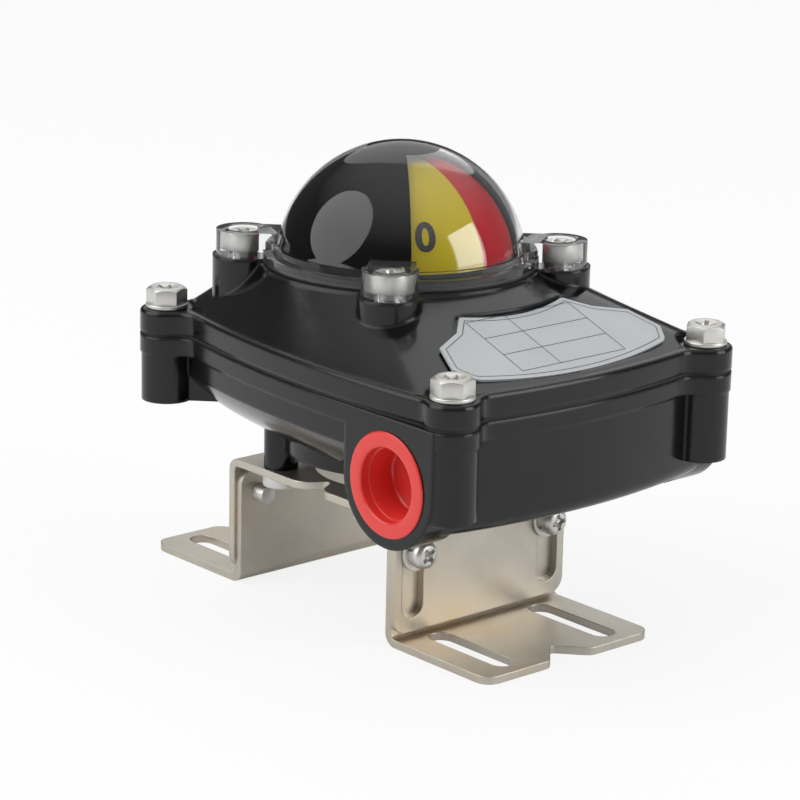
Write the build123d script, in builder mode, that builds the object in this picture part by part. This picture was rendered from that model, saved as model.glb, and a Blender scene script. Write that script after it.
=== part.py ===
from build123d import *
import os
from math import atan2, cos, degrees, radians, sin, sqrt

# Rotary limit switch box on an adjustable bracket.  Millimetres, +Z up.
# The origin is on the shaft axis, on the underside of the two feet.
# +X points to the cable end, +Y to the rear cable entry.

# ---------------------------------------------------------------- clearances
running_fit = 0.05      # shaft in bush, screw in its own thread
loose_fit = 0.3         # pieces that pass each other
bolt_clearance = 0.3    # bolt through a clearance hole

# ---------------------------------------------------------------- bracket
sheet = 1.8                     # stainless sheet of the bracket
foot_inset = 0.6                # a foot is this much narrower at each side
foot_edge_margin = 15.5         # from the middle of the long slots to the edge
bend_radius = 3.0
sheet_corner = 3.5
mount_spacing_x = 85.4          # centres of the long foot slots
mount_spacing_y = 30.0
mount_slot_length = 25.0
mount_slot_width = 5.8
notch_depth = 6.8
notch_half_width = 6.2
notch_shoulder_radius = 3.0
leg_to_slots = 13.7             # from the flange face to the middle of the long slots
top_width = 50.4
plate_top = 29.9                # height of the bracket's top face
flange_gap = 1.2                # bracket flange above the foot
waist_depth = 5.2
waist_half_width = 7.0
window_land = 1.5               # plate between the shaft window and a waist
adjust_slot_margin = 5.1        # slot centre from the edge of the bracket
adjust_screw_inset = 0.7        # screw centre, inside the slot centre
adjust_screw_height = 21.2
adjust_travel = 12.0
adjust_slot_width = 6.2
adjust_screw_radius = 2.0
adjust_head_radius = 3.2
adjust_head_height = 2.4
adjust_screw_length = 9.0
flat_washer_radius = 4.2
flat_washer_thickness = 0.8
spring_washer_radius = 3.1
spring_washer_thickness = 1.1
body_screw_radius = 2.5
body_screw_head_radius = 4.2
body_screw_head_height = 2.7
body_screw_length = 8.0
body_boss_spacing_x = 31.6      # bosses that stand on the bracket
body_boss_margin = 4.4          # boss centre from the edge of the bracket
body_boss_radius = 3.9

# ---------------------------------------------------------------- body plan
side_peak_x = 31.0              # where the bowed sides are widest
side_peak_y = 43.1
side_bow_radius = 285.0
front_end_x = 63.1              # cable end, on the centre line
front_bow_radius = 158.0
rear_end_x = -42.4              # plain end, on the centre line
rear_bow_radius = 170.0
bolt_front_inset = 4.5
bolt_rear_inset = 5.3
bolt_side_inset = 6.1
lug_radius = 6.0
lug_neck_radius = 5.0

# ---------------------------------------------------------------- body heights
wall = 3.2
body_stand = 4.9                # floor of the housing above the bracket
turret_radius = 25.7
bowl_lift = 3.8                 # each height is counted from the one before
bowl_lower_rise = 5.8
bowl_upper_rise = 6.0
wall_band = 4.8
rim_height = 4.1
wall_recess = 0.8
bowl_middle_inset = 6.4
bowl_bottom_inset = 15.8
deep_end_x = 36.0
corner_boss_radius = 5.7
rear_boss_height = 15.3
front_boss_height = 19.6
bolt_radius = 2.5
bolt_reach = 14.0

# ---------------------------------------------------------------- cable entries
entry_inset = 17.1              # from the cable end
entry_drop = 14.3               # below the top of the rim
entry_pad_radius = 13.8
entry_boss_depth = 9.5
entry_thread_radius = 10.48     # G 1/2
plug_flange_radius = 11.35
plug_flange_thickness = 0.5
plug_length = 9.0
plug_bore_radius = 7.9
plug_bore_depth = 2.2
plug_step_radius = 7.5
plug_step_depth = 6.3

# ---------------------------------------------------------------- cover
gasket_thickness = 0.8
gasket_inset = 0.4
cover_rim_height = 5.1
cover_edge_radius = 0.9
crown_inset = 1.0
seat_radius = 31.5
crown_rise = 12.4               # lens seat above the bolt lugs
seat_step = 0.6
seat_plate = 3.4
washer_radius = 4.7
washer_thickness = 1.0
hex_across_flats = 8.0
hex_height = 3.8
hex_crown_radius = 3.7
spot_face_radius = 6.4
lens_lug_offset = 24.8
post_radius = 7.0

# ---------------------------------------------------------------- label
label_offset = 4.3              # near edge from the rim of the lens seat
label_drop = 3.8                # near edge below the lens seat
label_reach = 23.4
label_half_width = 30.4
label_slope = 0.37
label_thickness = 0.5
label_border = 0.7

# ---------------------------------------------------------------- lens and indicator
lens_gasket_thickness = 0.5
dome_radius = 28.0
dome_sink = 1.4                 # centre of the dome, below its flange
dome_wall = 1.1
lens_flange_width = 2.7         # flange beyond the dome
lens_flange_thickness = 2.0
lens_step_radius = 28.8
lens_step_height = 1.6
lens_lug_radius = 6.2
lens_lug_height = 5.7
lens_screw_radius = 2.0
lens_screw_head_radius = 3.5
lens_screw_head_height = 4.2
lens_screw_length = 8.0
mask_gap = 0.3
mask_thickness = 1.0
mask_ring_height = 1.8
window_start = -36.5            # degrees about Z from +X
window_span = 90.0
cap_angle = 73.0                # the mask's polar cap starts here
rotor_gap = 0.5
panel_thickness = 1.6
colour_boundary = 4.3           # yellow ends and red begins, degrees
rotor_disc_thickness = 1.0
rotor_hub_radius = 7.5
rotor_hub_height = 10.0
rotor_post_radius = 3.6
rotor_screw_radius = 1.5
rotor_screw_head_radius = 2.8
rotor_screw_head_height = 1.7
rotor_screw_length = 18.0

# ---------------------------------------------------------------- shaft and cams
shaft_radius = 5.0
shaft_tip = 16.3
shaft_end_radius = 4.8
shaft_end_top = 33.0
tongue_thickness = 4.0
tongue_length = 5.0
bush_radius = 7.0
bush_hub_radius = 9.5
collar_radius = 8.5
collar_thickness = 1.8
circlip_radius = 7.2
circlip_thickness = 1.0
circlip_groove = 0.5
o_ring_minor_radius = 0.82
o_ring_height = 39.6
cam_radius = 10.5
cam_lobe_radius = 15.4
cam_thickness = 5.0
cam_lobe_span = 40.0
turn_up = 49.0                  # shaft travel to the yellow end, degrees
turn_down = 41.0                # shaft travel to the red end, degrees
lobe_lead = 12.0                # a lobe that works its lever starts here, degrees

# ---------------------------------------------------------------- switches
frame_thickness = 1.5
frame_clearance = 0.8           # frame above the floor of the bowl
frame_overhang = 2.1            # frame in front of the switch faces
frame_end_gap = 6.1             # frame from the cable end
frame_half_width = 21.4
frame_post_radius = 3.0
frame_post_inset = 3.5          # post from the far end of the frame
frame_post_pitch = 15.0
frame_post_margin = 3.1         # post from the side of the frame
switch_length = 27.8
switch_depth = 15.9
switch_height = 10.3
cam_to_switch = 3.2             # switch face beyond the lobe
switch_gap = 0.6
switch_hole_spacing = 22.2
switch_screw_radius = 1.4
small_head_height = 1.4
small_screw_reach = 4.0
small_hole_depth = 4.5
switch_screw_inset = 3.5
lever_thickness = 0.5
lever_width = 4.2
lever_pivot_y = -9.5
lever_length = 18.0
lever_stand_off = 2.1
lever_tip_radius = 1.2
lever_tip_offset = 0.9
lever_ear_thickness = 0.8
lever_barrel_radius = 0.6
lever_ear_gap = 0.15
plunger_radius = 1.2
plunger_stand_out = 1.9
plunger_travel = 0.8
plunger_y = -2.0
terminal_inset = 7.0            # from the far end of the frame
terminal_width = 11.0
terminal_length = 30.4
terminal_height = 12.0
terminal_count = 6
terminal_pitch = 4.8
terminal_rib = 1.0
terminal_channel = 4.0
terminal_screw_radius = 1.5
terminal_head_height = 1.2
terminal_screw_reach = 4.0
earth_screw_x = 43.6
earth_screw_y = 27.5
earth_screw_radius = 2.0

# ---------------------------------------------------------------- derived places
floor_underside = plate_top + body_stand
bowl_bottom = floor_underside + bowl_lift
bowl_middle = bowl_bottom + bowl_lower_rise
wall_bottom = bowl_middle + bowl_upper_rise
rim_underside = wall_bottom + wall_band
rim_top = rim_underside + rim_height
rear_boss_bottom = rim_top - rear_boss_height
front_boss_bottom = rim_top - front_boss_height
cover_bottom = rim_top + gasket_thickness
lug_top = cover_bottom + cover_rim_height
seat_height = lug_top + crown_rise
crown_top = seat_height - seat_step
lens_base = seat_height + lens_gasket_thickness
dome_centre = lens_base - dome_sink
inner_floor = floor_underside + wall
cavity_inset = wall_recess + wall
lens_inner_radius = dome_radius - dome_wall
lens_flange_radius = dome_radius + lens_flange_width
mask_radius = lens_inner_radius - mask_gap
mask_inner_radius = mask_radius - mask_thickness
rotor_radius = mask_inner_radius - rotor_gap
rotor_base = seat_height + mask_ring_height
top_half_length = mount_spacing_x / 2 - leg_to_slots
foot_edge = mount_spacing_x / 2 + foot_edge_margin
shaft_window_radius = top_width / 2 - waist_depth - window_land
foot_width = top_width - 2 * foot_inset
adjust_slot_spacing = top_width - 2 * adjust_slot_margin
adjust_screw_spacing = adjust_slot_spacing - 2 * adjust_screw_inset
body_boss_spacing_y = top_width - 2 * body_boss_margin
foot_leg_outer = top_half_length - sheet
foot_leg_inner = foot_leg_outer - sheet
foot_leg_top = plate_top - bend_radius - 0.1
bolt_front_x = front_end_x - bolt_front_inset
bolt_rear_x = rear_end_x + bolt_rear_inset
bolt_y = side_peak_y - bolt_side_inset
entry_x = front_end_x - entry_inset
entry_z = rim_top - entry_drop
label_near_x = seat_radius + label_offset
label_near_z = seat_height - label_drop
frame_height = bowl_bottom + wall + frame_clearance
frame_far_x = front_end_x - frame_end_gap
frame_post_far_x = frame_far_x - frame_post_inset
frame_post_middle = frame_post_far_x - frame_post_pitch / 2
frame_post_y = frame_half_width - frame_post_margin
switch_face_x = cam_lobe_radius + cam_to_switch
switch_middle_x = switch_face_x + switch_depth / 2
switch_screw_x = switch_face_x + switch_depth - switch_screw_inset
switch_lower_bottom = frame_height + frame_thickness
switch_upper_bottom = switch_lower_bottom + switch_height + switch_gap
frame_near_x = switch_face_x - frame_overhang
frame_middle = (frame_near_x + frame_far_x) / 2
terminal_x = frame_far_x - terminal_inset
cam_lower_bottom = switch_lower_bottom + (switch_height - cam_thickness) / 2
cam_upper_bottom = switch_upper_bottom + (switch_height - cam_thickness) / 2
collar_bottom = cam_lower_bottom - collar_thickness
bush_top = collar_bottom
bolt_spots = [(bolt_rear_x, -bolt_y), (bolt_rear_x, bolt_y)]
bolt_spots += [(bolt_front_x, -bolt_y), (bolt_front_x, bolt_y)]

os.makedirs("parts", exist_ok=True)


def save(piece, name):
    """Label a finished piece and write it to its own STEP file."""
    piece.label = name
    export_step(piece, f"parts/{name}.step")


# ---------------------------------------------------------------- plan outlines
def side_y(x):
    """Half width of the bowed body at a place along its length."""
    reach = x - side_peak_x
    return side_peak_y - side_bow_radius + sqrt(side_bow_radius**2 - reach**2)


def end_x(middle, bow, y, outward):
    """Place of a bowed end wall at a distance from the centre line."""
    return middle - outward * (bow - sqrt(bow**2 - y**2))


def body_outline(inset, corner=0.0):
    """Bowed rectangle of the body in plan, drawn in by a distance."""
    rear_y = side_y(bolt_rear_x - 2)
    front_y = side_y(bolt_front_x - 1)
    rear_x = end_x(rear_end_x, rear_bow_radius, rear_y, -1)
    front_x = end_x(front_end_x, front_bow_radius, front_y, 1)
    middle = (rear_x + front_x) / 2
    with BuildSketch() as outline:
        with BuildLine():
            ThreePointArc((rear_x, -rear_y), (middle, -side_y(middle)), (front_x, -front_y))
            ThreePointArc((front_x, -front_y), (front_end_x, 0), (front_x, front_y))
            ThreePointArc((front_x, front_y), (middle, side_y(middle)), (rear_x, rear_y))
            ThreePointArc((rear_x, rear_y), (rear_end_x, 0), (rear_x, -rear_y))
        make_face()
        if inset:
            offset(amount=-inset, kind=Kind.INTERSECTION, mode=Mode.REPLACE)
        if corner:
            fillet(outline.vertices(), corner)
    return outline.sketch


def flange_outline(inset):
    """Body outline with its four round corner lugs and their necks."""
    with BuildSketch() as flange:
        add(body_outline(inset))
        with Locations(*bolt_spots):
            Circle(lug_radius - inset)
        fillet(flange.vertices(), lug_neck_radius)
    return flange.sketch


def sector(radius, start, span):
    """Pie-shaped sketch between two directions, in degrees from +X."""
    ends = [(radius * cos(radians(a)), radius * sin(radians(a))) for a in (start, start + span)]
    with BuildSketch() as pie:
        with BuildLine():
            Line((0, 0), ends[0])
            CenterArc((0, 0), radius, start, span)
            Line(ends[1], (0, 0))
        make_face()
    return pie.sketch


# ---------------------------------------------------------------- lower housing
def entry_plane(side):
    """Plane of a cable entry's pad, facing out of the body."""
    return Plane(origin=(entry_x, side * side_peak_y, entry_z), x_dir=(-side, 0, 0), z_dir=(0, side, 0))


with BuildPart() as deep_end:
    with BuildSketch(Plane.XY.offset(floor_underside)):
        add(body_outline(wall_recess, corner=6.0))
        with Locations((deep_end_x + 50, 0)):
            Rectangle(100, 120, mode=Mode.INTERSECT)
    extrude(amount=rim_underside - floor_underside)
    fillet(deep_end.faces().sort_by(Axis.Z)[0].edges(), 4.0)

with BuildPart() as lower_housing:
    with BuildSketch(Plane.XY.offset(rim_underside)):
        add(flange_outline(0))
    extrude(amount=rim_top - rim_underside)
    with BuildSketch(Plane.XY.offset(wall_bottom)):
        add(body_outline(wall_recess, corner=14.0))
    extrude(amount=rim_underside - wall_bottom)
    with BuildSketch(Plane.XY.offset(wall_bottom)):
        add(body_outline(wall_recess, corner=14.0))
    with BuildSketch(Plane.XY.offset(bowl_middle)):
        add(body_outline(bowl_middle_inset, corner=12.0))
    with BuildSketch(Plane.XY.offset(bowl_bottom)):
        add(body_outline(bowl_bottom_inset, corner=8.0))
    loft()
    add(deep_end.part)
    with BuildSketch(Plane.XY.offset(floor_underside)):
        Circle(turret_radius)
    extrude(amount=bowl_middle - floor_underside)
    for side in (-1, 1):
        with BuildSketch(entry_plane(side)):
            Circle(entry_pad_radius)
            with Locations((0, (rim_top - entry_z) / 2)):
                Rectangle(2 * entry_pad_radius, rim_top - entry_z)
        extrude(amount=-entry_boss_depth)
    # cavity: rim, bowl, deep end and turret
    with BuildSketch(Plane.XY.offset(wall_bottom)):
        add(body_outline(cavity_inset, corner=12.0))
    extrude(amount=rim_top - wall_bottom, mode=Mode.SUBTRACT)
    with BuildSketch(Plane.XY.offset(wall_bottom)):
        add(body_outline(cavity_inset, corner=12.0))
    with BuildSketch(Plane.XY.offset(bowl_bottom + wall)):
        add(body_outline(bowl_bottom_inset + wall, corner=6.0))
    loft(mode=Mode.SUBTRACT)
    with BuildSketch(Plane.XY.offset(inner_floor)):
        add(body_outline(cavity_inset, corner=6.0))
        with Locations((deep_end_x + wall + 50, 0)):
            Rectangle(100, 120, mode=Mode.INTERSECT)
        Circle(turret_radius - wall)
    extrude(amount=rim_top - inner_floor, mode=Mode.SUBTRACT)
    # corner bosses for the cover bolts
    for spot in bolt_spots:
        bottom = rear_boss_bottom if spot[0] < 0 else front_boss_bottom
        with BuildSketch(Plane.XY.offset(bottom)):
            with Locations(spot):
                Circle(corner_boss_radius)
        extrude(amount=rim_top - bottom)
    for side in (-1, 1):
        with BuildSketch(Plane(origin=(0, 0, rear_boss_bottom))):
            with Locations(Location((bolt_rear_x + 5, side * (bolt_y - 5), 0), (0, 0, side * 135))):
                Rectangle(12, 4)
        extrude(amount=wall_bottom - rear_boss_bottom)
    # cable entry bosses inside, bosses on the bracket, hub of the bush
    for side in (-1, 1):
        with BuildSketch(entry_plane(side)):
            Circle(entry_pad_radius)
        extrude(amount=-entry_boss_depth)
    with BuildSketch(Plane.XY.offset(plate_top)):
        with GridLocations(body_boss_spacing_x, body_boss_spacing_y, 2, 2):
            Circle(body_boss_radius)
    extrude(amount=bowl_bottom + wall - plate_top)
    with BuildSketch(Plane.XY.offset(floor_underside)):
        Circle(bush_hub_radius)
    extrude(amount=bush_top - 0.6 - floor_underside)
    # posts of the switch frame and of the earth screw
    with BuildSketch(Plane.XY.offset(inner_floor)):
        with Locations((frame_post_middle, 0)):
            with GridLocations(frame_post_pitch, 2 * frame_post_y, 2, 2):
                Circle(frame_post_radius)
        with Locations((earth_screw_x, earth_screw_y)):
            Circle(earth_screw_radius + 2)
    extrude(amount=frame_height - inner_floor)
    # bores
    for side in (-1, 1):
        with BuildSketch(entry_plane(side)):
            Circle(entry_thread_radius + running_fit)
        extrude(amount=-entry_boss_depth - 1, mode=Mode.SUBTRACT)
    with BuildSketch(Plane.XY.offset(rim_top)):
        with Locations(*bolt_spots):
            Circle(bolt_radius + running_fit)
    extrude(amount=-(bolt_reach - cover_rim_height - gasket_thickness + 2), mode=Mode.SUBTRACT)
    with BuildSketch(Plane.XY.offset(floor_underside)):
        Circle(bush_radius + running_fit)
    extrude(amount=20, mode=Mode.SUBTRACT)
    with BuildSketch(Plane.XY.offset(plate_top)):
        with GridLocations(body_boss_spacing_x, body_boss_spacing_y, 2, 2):
            Circle(body_screw_radius + running_fit)
    extrude(amount=body_screw_length - sheet + 0.5, mode=Mode.SUBTRACT)
    with BuildSketch(Plane.XY.offset(frame_height)):
        with Locations((frame_post_middle, 0)):
            with GridLocations(frame_post_pitch, 2 * frame_post_y, 2, 2):
                Circle(switch_screw_radius + running_fit)
        with Locations((earth_screw_x, earth_screw_y)):
            Circle(earth_screw_radius + running_fit)
    extrude(amount=-small_hole_depth, mode=Mode.SUBTRACT)
save(lower_housing.part, "lower_housing")


# ---------------------------------------------------------------- cover gasket
with BuildPart() as cover_gasket:
    with BuildSketch(Plane.XY.offset(rim_top)):
        add(flange_outline(gasket_inset))
        add(body_outline(cavity_inset, corner=6.0), mode=Mode.SUBTRACT)
        with Locations(*bolt_spots):
            Circle(bolt_radius + bolt_clearance, mode=Mode.SUBTRACT)
    extrude(amount=gasket_thickness)
save(cover_gasket.part, "cover_gasket")


# ---------------------------------------------------------------- cover
def label_plane(lift):
    """Sloping plane of the label panel, lifted along its own normal."""
    tilt = atan2(label_slope, 1)
    normal = (sin(tilt), 0, cos(tilt))
    origin = (label_near_x + normal[0] * lift, 0, label_near_z + normal[2] * lift)
    return Plane(origin=origin, x_dir=(cos(tilt), 0, -sin(tilt)), z_dir=normal)


def label_outline():
    """Label drawn in its own plane: hollowed for the dome, bowed at the cable end."""
    length = label_reach * sqrt(1 + label_slope**2)
    shares = [(0, 0.493), (0.197, 0.651), (0.342, 0.905), (0.65, 1.0), (0.838, 0.908)]
    half = [(length * x, -label_half_width * y) for x, y in shares]
    mirrored = [(x, -y) for x, y in reversed(half)]
    with BuildSketch() as outline:
        with BuildLine():
            Polyline(*half)
            ThreePointArc(half[-1], (length, 0), mirrored[0])
            Polyline(*mirrored)
            ThreePointArc(mirrored[-1], (0.111 * length, 0), half[0])
        make_face()
        fillet(outline.vertices().group_by(Axis.X)[-1], 3.2)
        fillet(outline.vertices().group_by(Axis.X)[0], 1.2)
    return outline.sketch


lens_sides = (-lens_lug_offset, lens_lug_offset)
lens_spots = [(x, y) for x in lens_sides for y in lens_sides]
dome_align = (Align.CENTER, Align.CENTER, Align.MIN)

with BuildPart() as cover:
    with BuildSketch(Plane.XY.offset(cover_bottom)):
        add(flange_outline(0))
    extrude(amount=cover_rim_height)
    fillet(cover.faces().sort_by(Axis.Z)[-1].edges(), cover_edge_radius)
    with BuildSketch(Plane.XY.offset(lug_top - 0.2)):
        add(body_outline(crown_inset, corner=10.0))
    with BuildSketch(Plane.XY.offset(crown_top)):
        Circle(seat_radius)
    loft()
    with BuildSketch(Plane.XY.offset(crown_top - 1)):
        Circle(seat_radius)
    extrude(amount=seat_height - crown_top + 1)
    with BuildSketch(Plane.XY.offset(cover_bottom)):
        add(body_outline(cavity_inset, corner=10.0))
    with BuildSketch(Plane.XY.offset(seat_height - seat_plate)):
        Circle(seat_radius - wall)
    loft(mode=Mode.SUBTRACT)
    # posts that carry the lugs of the lens
    with BuildSketch(Plane.XY.offset(lug_top - 1)):
        with Locations(*lens_spots):
            Circle(post_radius)
    extrude(amount=lens_base - lug_top + 1)
    with BuildSketch(Plane.XY.offset(lug_top)):
        with Locations(*bolt_spots):
            Circle(spot_face_radius)
    extrude(amount=20, mode=Mode.SUBTRACT)
    with BuildSketch(Plane.XY.offset(cover_bottom)):
        with Locations(*bolt_spots):
            Circle(bolt_radius + bolt_clearance)
    extrude(amount=cover_rim_height + 1, mode=Mode.SUBTRACT)
    with BuildSketch(Plane.XY.offset(lens_base)):
        with Locations(*lens_spots):
            Circle(lens_screw_radius + running_fit)
    extrude(amount=-lens_screw_length, mode=Mode.SUBTRACT)
    with BuildSketch(Plane.XY.offset(seat_height)):
        Circle(shaft_radius + running_fit)
    extrude(amount=-2 * seat_plate, mode=Mode.SUBTRACT)
    with BuildSketch(label_plane(0)):
        add(label_outline())
        offset(amount=label_border)
    extrude(amount=8, mode=Mode.SUBTRACT)
save(cover.part, "cover")

with BuildPart() as label_plate:
    with BuildSketch(label_plane(0)):
        add(label_outline())
    extrude(amount=label_thickness)
save(label_plate.part, "label_plate")

# ---------------------------------------------------------------- cover bolts
with BuildPart() as cover_bolt_washers:
    with BuildSketch(Plane.XY.offset(lug_top)):
        with Locations(*bolt_spots):
            Circle(washer_radius)
            Circle(bolt_radius + bolt_clearance, mode=Mode.SUBTRACT)
    extrude(amount=washer_thickness)
save(cover_bolt_washers.part, "cover_bolt_washers")

with BuildPart() as hex_bolt:
    with BuildSketch():
        RegularPolygon(hex_across_flats / 2, 6, major_radius=False, rotation=15)
    extrude(amount=hex_height)
    crown_base = hex_crown_radius + hex_height * sqrt(3)
    with Locations((0, 0, hex_height / 2)):
        Cone(crown_base, hex_crown_radius, hex_height, mode=Mode.INTERSECT)
    with BuildSketch(Plane.XY.offset(hex_height)):
        Circle(2.8)
    extrude(amount=-0.6, taper=30, mode=Mode.SUBTRACT)
    with BuildSketch():
        Circle(bolt_radius)
    extrude(amount=-bolt_reach)

with BuildPart() as cover_bolts:
    with Locations(*[(x, y, lug_top + washer_thickness) for x, y in bolt_spots]):
        add(hex_bolt.part)
save(cover_bolts.part, "cover_bolts")

# ---------------------------------------------------------------- lens, its gasket, screws and mask
with BuildPart() as lens_gasket:
    with BuildSketch(Plane.XY.offset(seat_height)):
        Circle(lens_flange_radius - gasket_inset)
        Circle(mask_radius + loose_fit, mode=Mode.SUBTRACT)
    extrude(amount=lens_gasket_thickness)
    with BuildSketch(Plane.XY.offset(seat_height)):
        with Locations(*lens_spots):
            Circle(post_radius + loose_fit)
    extrude(amount=lens_gasket_thickness, mode=Mode.SUBTRACT)
save(lens_gasket.part, "lens_gasket")

with BuildPart() as indicator_lens:
    with BuildSketch(Plane.XY.offset(lens_base)):
        Circle(lens_flange_radius)
    extrude(amount=lens_flange_thickness)
    with BuildSketch(Plane.XY.offset(lens_base)):
        Circle(lens_step_radius)
    extrude(amount=lens_flange_thickness + lens_step_height)
    with BuildSketch(Plane.XY.offset(lens_base)):
        for spot in lens_spots:
            with Locations(spot):
                Circle(lens_lug_radius)
            turn = degrees(atan2(spot[1], spot[0]))
            inner = (spot[0] * 0.8, spot[1] * 0.8)
            with Locations(Location((inner[0], inner[1], 0), (0, 0, turn))):
                Rectangle(14, 2 * lens_lug_radius - 2.4)
    extrude(amount=lens_lug_height)
    with Locations((0, 0, dome_centre)):
        Sphere(dome_radius, arc_size1=0, align=dome_align)
        Sphere(lens_inner_radius, mode=Mode.SUBTRACT)
    with BuildSketch(Plane.XY.offset(lens_base)):
        Circle(lens_flange_radius)
    extrude(amount=-dome_sink, mode=Mode.SUBTRACT)
    with BuildSketch(Plane.XY.offset(lens_base)):
        with Locations(*lens_spots):
            Circle(lens_screw_radius + bolt_clearance)
    extrude(amount=lens_lug_height, mode=Mode.SUBTRACT)
    with BuildSketch(Plane.XY.offset(lens_base + lens_lug_height)):
        with Locations(*lens_spots):
            Circle(lens_screw_head_radius + loose_fit)
    extrude(amount=-(lens_screw_head_height + loose_fit), mode=Mode.SUBTRACT)
save(indicator_lens.part, "indicator_lens")

lens_screw_seat = lens_base + lens_lug_height - lens_screw_head_height - loose_fit
with BuildPart() as lens_screws:
    with BuildSketch(Plane.XY.offset(lens_screw_seat)):
        with Locations(*lens_spots):
            Circle(lens_screw_head_radius)
    extrude(amount=lens_screw_head_height)
    fillet(lens_screws.faces().group_by(Axis.Z)[-1].edges(), 0.5)
    with BuildSketch(Plane.XY.offset(lens_screw_seat)):
        with Locations(*lens_spots):
            Circle(lens_screw_radius)
    extrude(amount=-lens_screw_length)
    with BuildSketch(Plane.XY.offset(lens_screw_seat + lens_screw_head_height)):
        with Locations(*lens_spots):
            Rectangle(3.8, 0.9)
            Rectangle(0.9, 3.8)
    extrude(amount=-1.8, mode=Mode.SUBTRACT)
save(lens_screws.part, "lens_screws")

with BuildPart() as indicator_mask:
    with Locations((0, 0, dome_centre)):
        Sphere(mask_radius, arc_size1=0, align=dome_align)
        Sphere(mask_inner_radius, mode=Mode.SUBTRACT)
    with BuildSketch(Plane.XY.offset(seat_height)):
        Circle(lens_flange_radius)
    extrude(amount=dome_centre - seat_height, mode=Mode.SUBTRACT)
    # two windows, open from the base ring up to the polar cap
    window_top = dome_centre + mask_radius * sin(radians(cap_angle))
    with BuildSketch(Plane.XY.offset(rotor_base)):
        for start in (window_start, window_start + 180):
            add(sector(2 * mask_radius, start, window_span))
    extrude(amount=window_top - rotor_base, mode=Mode.SUBTRACT)
save(indicator_mask.part, "indicator_mask")


# ---------------------------------------------------------------- indicator rotor
def colour_panels(first_start):
    """Two opposite quarter domes of one colour."""
    with BuildPart() as shell:
        with Locations((0, 0, dome_centre)):
            Sphere(rotor_radius, arc_size1=0, align=dome_align)
            Sphere(rotor_radius - panel_thickness, mode=Mode.SUBTRACT)
        with BuildSketch(Plane.XY.offset(dome_centre)):
            Circle(2 * rotor_radius)
        extrude(amount=rotor_base + rotor_disc_thickness - dome_centre, mode=Mode.SUBTRACT)
        with BuildSketch(Plane.XY.offset(dome_centre)):
            Circle(rotor_post_radius + running_fit)
        extrude(amount=2 * rotor_radius, mode=Mode.SUBTRACT)
        with BuildSketch(Plane.XY.offset(dome_centre)):
            for start in (first_start, first_start + 180):
                add(sector(2 * rotor_radius, start, 90))
        extrude(amount=2 * rotor_radius, mode=Mode.INTERSECT)
    return shell.part


save(colour_panels(colour_boundary - 90), "indicator_yellow_panels")
save(colour_panels(colour_boundary), "indicator_red_panels")

rotor_top = dome_centre + rotor_radius - panel_thickness - 1.0
with BuildPart() as indicator_rotor:
    with BuildSketch(Plane.XY.offset(rotor_base)):
        Circle(rotor_radius - 0.2)
    extrude(amount=rotor_disc_thickness)
    with BuildSketch(Plane.XY.offset(rotor_base)):
        Circle(rotor_hub_radius)
    extrude(amount=rotor_hub_height)
    with BuildSketch(Plane.XY.offset(rotor_base)):
        Circle(rotor_post_radius)
    extrude(amount=rotor_top - rotor_base)
    with BuildSketch(Plane.XY.offset(rotor_base)):
        Circle(shaft_radius + running_fit)
    extrude(amount=rotor_hub_height - 3, mode=Mode.SUBTRACT)
    with BuildSketch(Plane.XY.offset(rotor_base)):
        Circle(rotor_screw_radius + running_fit)
    extrude(amount=rotor_top - rotor_base, mode=Mode.SUBTRACT)
save(indicator_rotor.part, "indicator_rotor")

with BuildPart() as indicator_screw:
    with BuildSketch(Plane.XY.offset(rotor_top)):
        Circle(rotor_screw_head_radius)
    extrude(amount=rotor_screw_head_height)
    with BuildSketch(Plane.XY.offset(rotor_top)):
        Circle(rotor_screw_radius)
    extrude(amount=-rotor_screw_length)
    with BuildSketch(Plane.XY.offset(rotor_top + rotor_screw_head_height)):
        Rectangle(3.2, 0.8)
        Rectangle(0.8, 3.2)
    extrude(amount=-1.0, mode=Mode.SUBTRACT)
save(indicator_screw.part, "indicator_screw")

# ---------------------------------------------------------------- shaft, bush, ring and clip
shaft_top = rotor_base + rotor_hub_height - 3 - 0.4
with BuildPart() as shaft:
    with BuildSketch(Plane.XY.offset(shaft_tip)):
        Circle(shaft_end_radius)
    extrude(amount=shaft_end_top - shaft_tip)
    chamfer(shaft.faces().sort_by(Axis.Z)[0].edges(), 0.6)
    with BuildSketch(Plane.XY.offset(shaft_end_top)):
        Circle(shaft_radius)
    extrude(amount=shaft_top - shaft_end_top)
    with BuildSketch(Plane.XY.offset(collar_bottom)):
        Circle(collar_radius)
    extrude(amount=collar_thickness)
    # tongue that enters the slot of the driven shaft
    with BuildSketch(Plane.XY.offset(shaft_tip)):
        with Locations((0, shaft_radius + tongue_thickness / 2), (0, -shaft_radius - tongue_thickness / 2)):
            Rectangle(4 * shaft_radius, 2 * shaft_radius)
    extrude(amount=tongue_length, mode=Mode.SUBTRACT)
    with BuildSketch(Plane.XY.offset(floor_underside - circlip_thickness)):
        Circle(2 * shaft_radius)
        Circle(shaft_radius - circlip_groove, mode=Mode.SUBTRACT)
    extrude(amount=circlip_thickness, mode=Mode.SUBTRACT)
    with BuildSketch(Plane.XY.offset(o_ring_height - 0.9)):
        Circle(2 * shaft_radius)
        Circle(shaft_radius - 2 * o_ring_minor_radius, mode=Mode.SUBTRACT)
    extrude(amount=1.8, mode=Mode.SUBTRACT)
    with BuildSketch(Plane.XY.offset(shaft_top)):
        Circle(rotor_screw_radius + running_fit)
    extrude(amount=-8, mode=Mode.SUBTRACT)
save(shaft.part, "shaft")

with BuildPart() as shaft_o_ring:
    with Locations((0, 0, o_ring_height)):
        Torus(shaft_radius - o_ring_minor_radius + 0.02, o_ring_minor_radius - 0.01)
save(shaft_o_ring.part, "shaft_o_ring")

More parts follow.
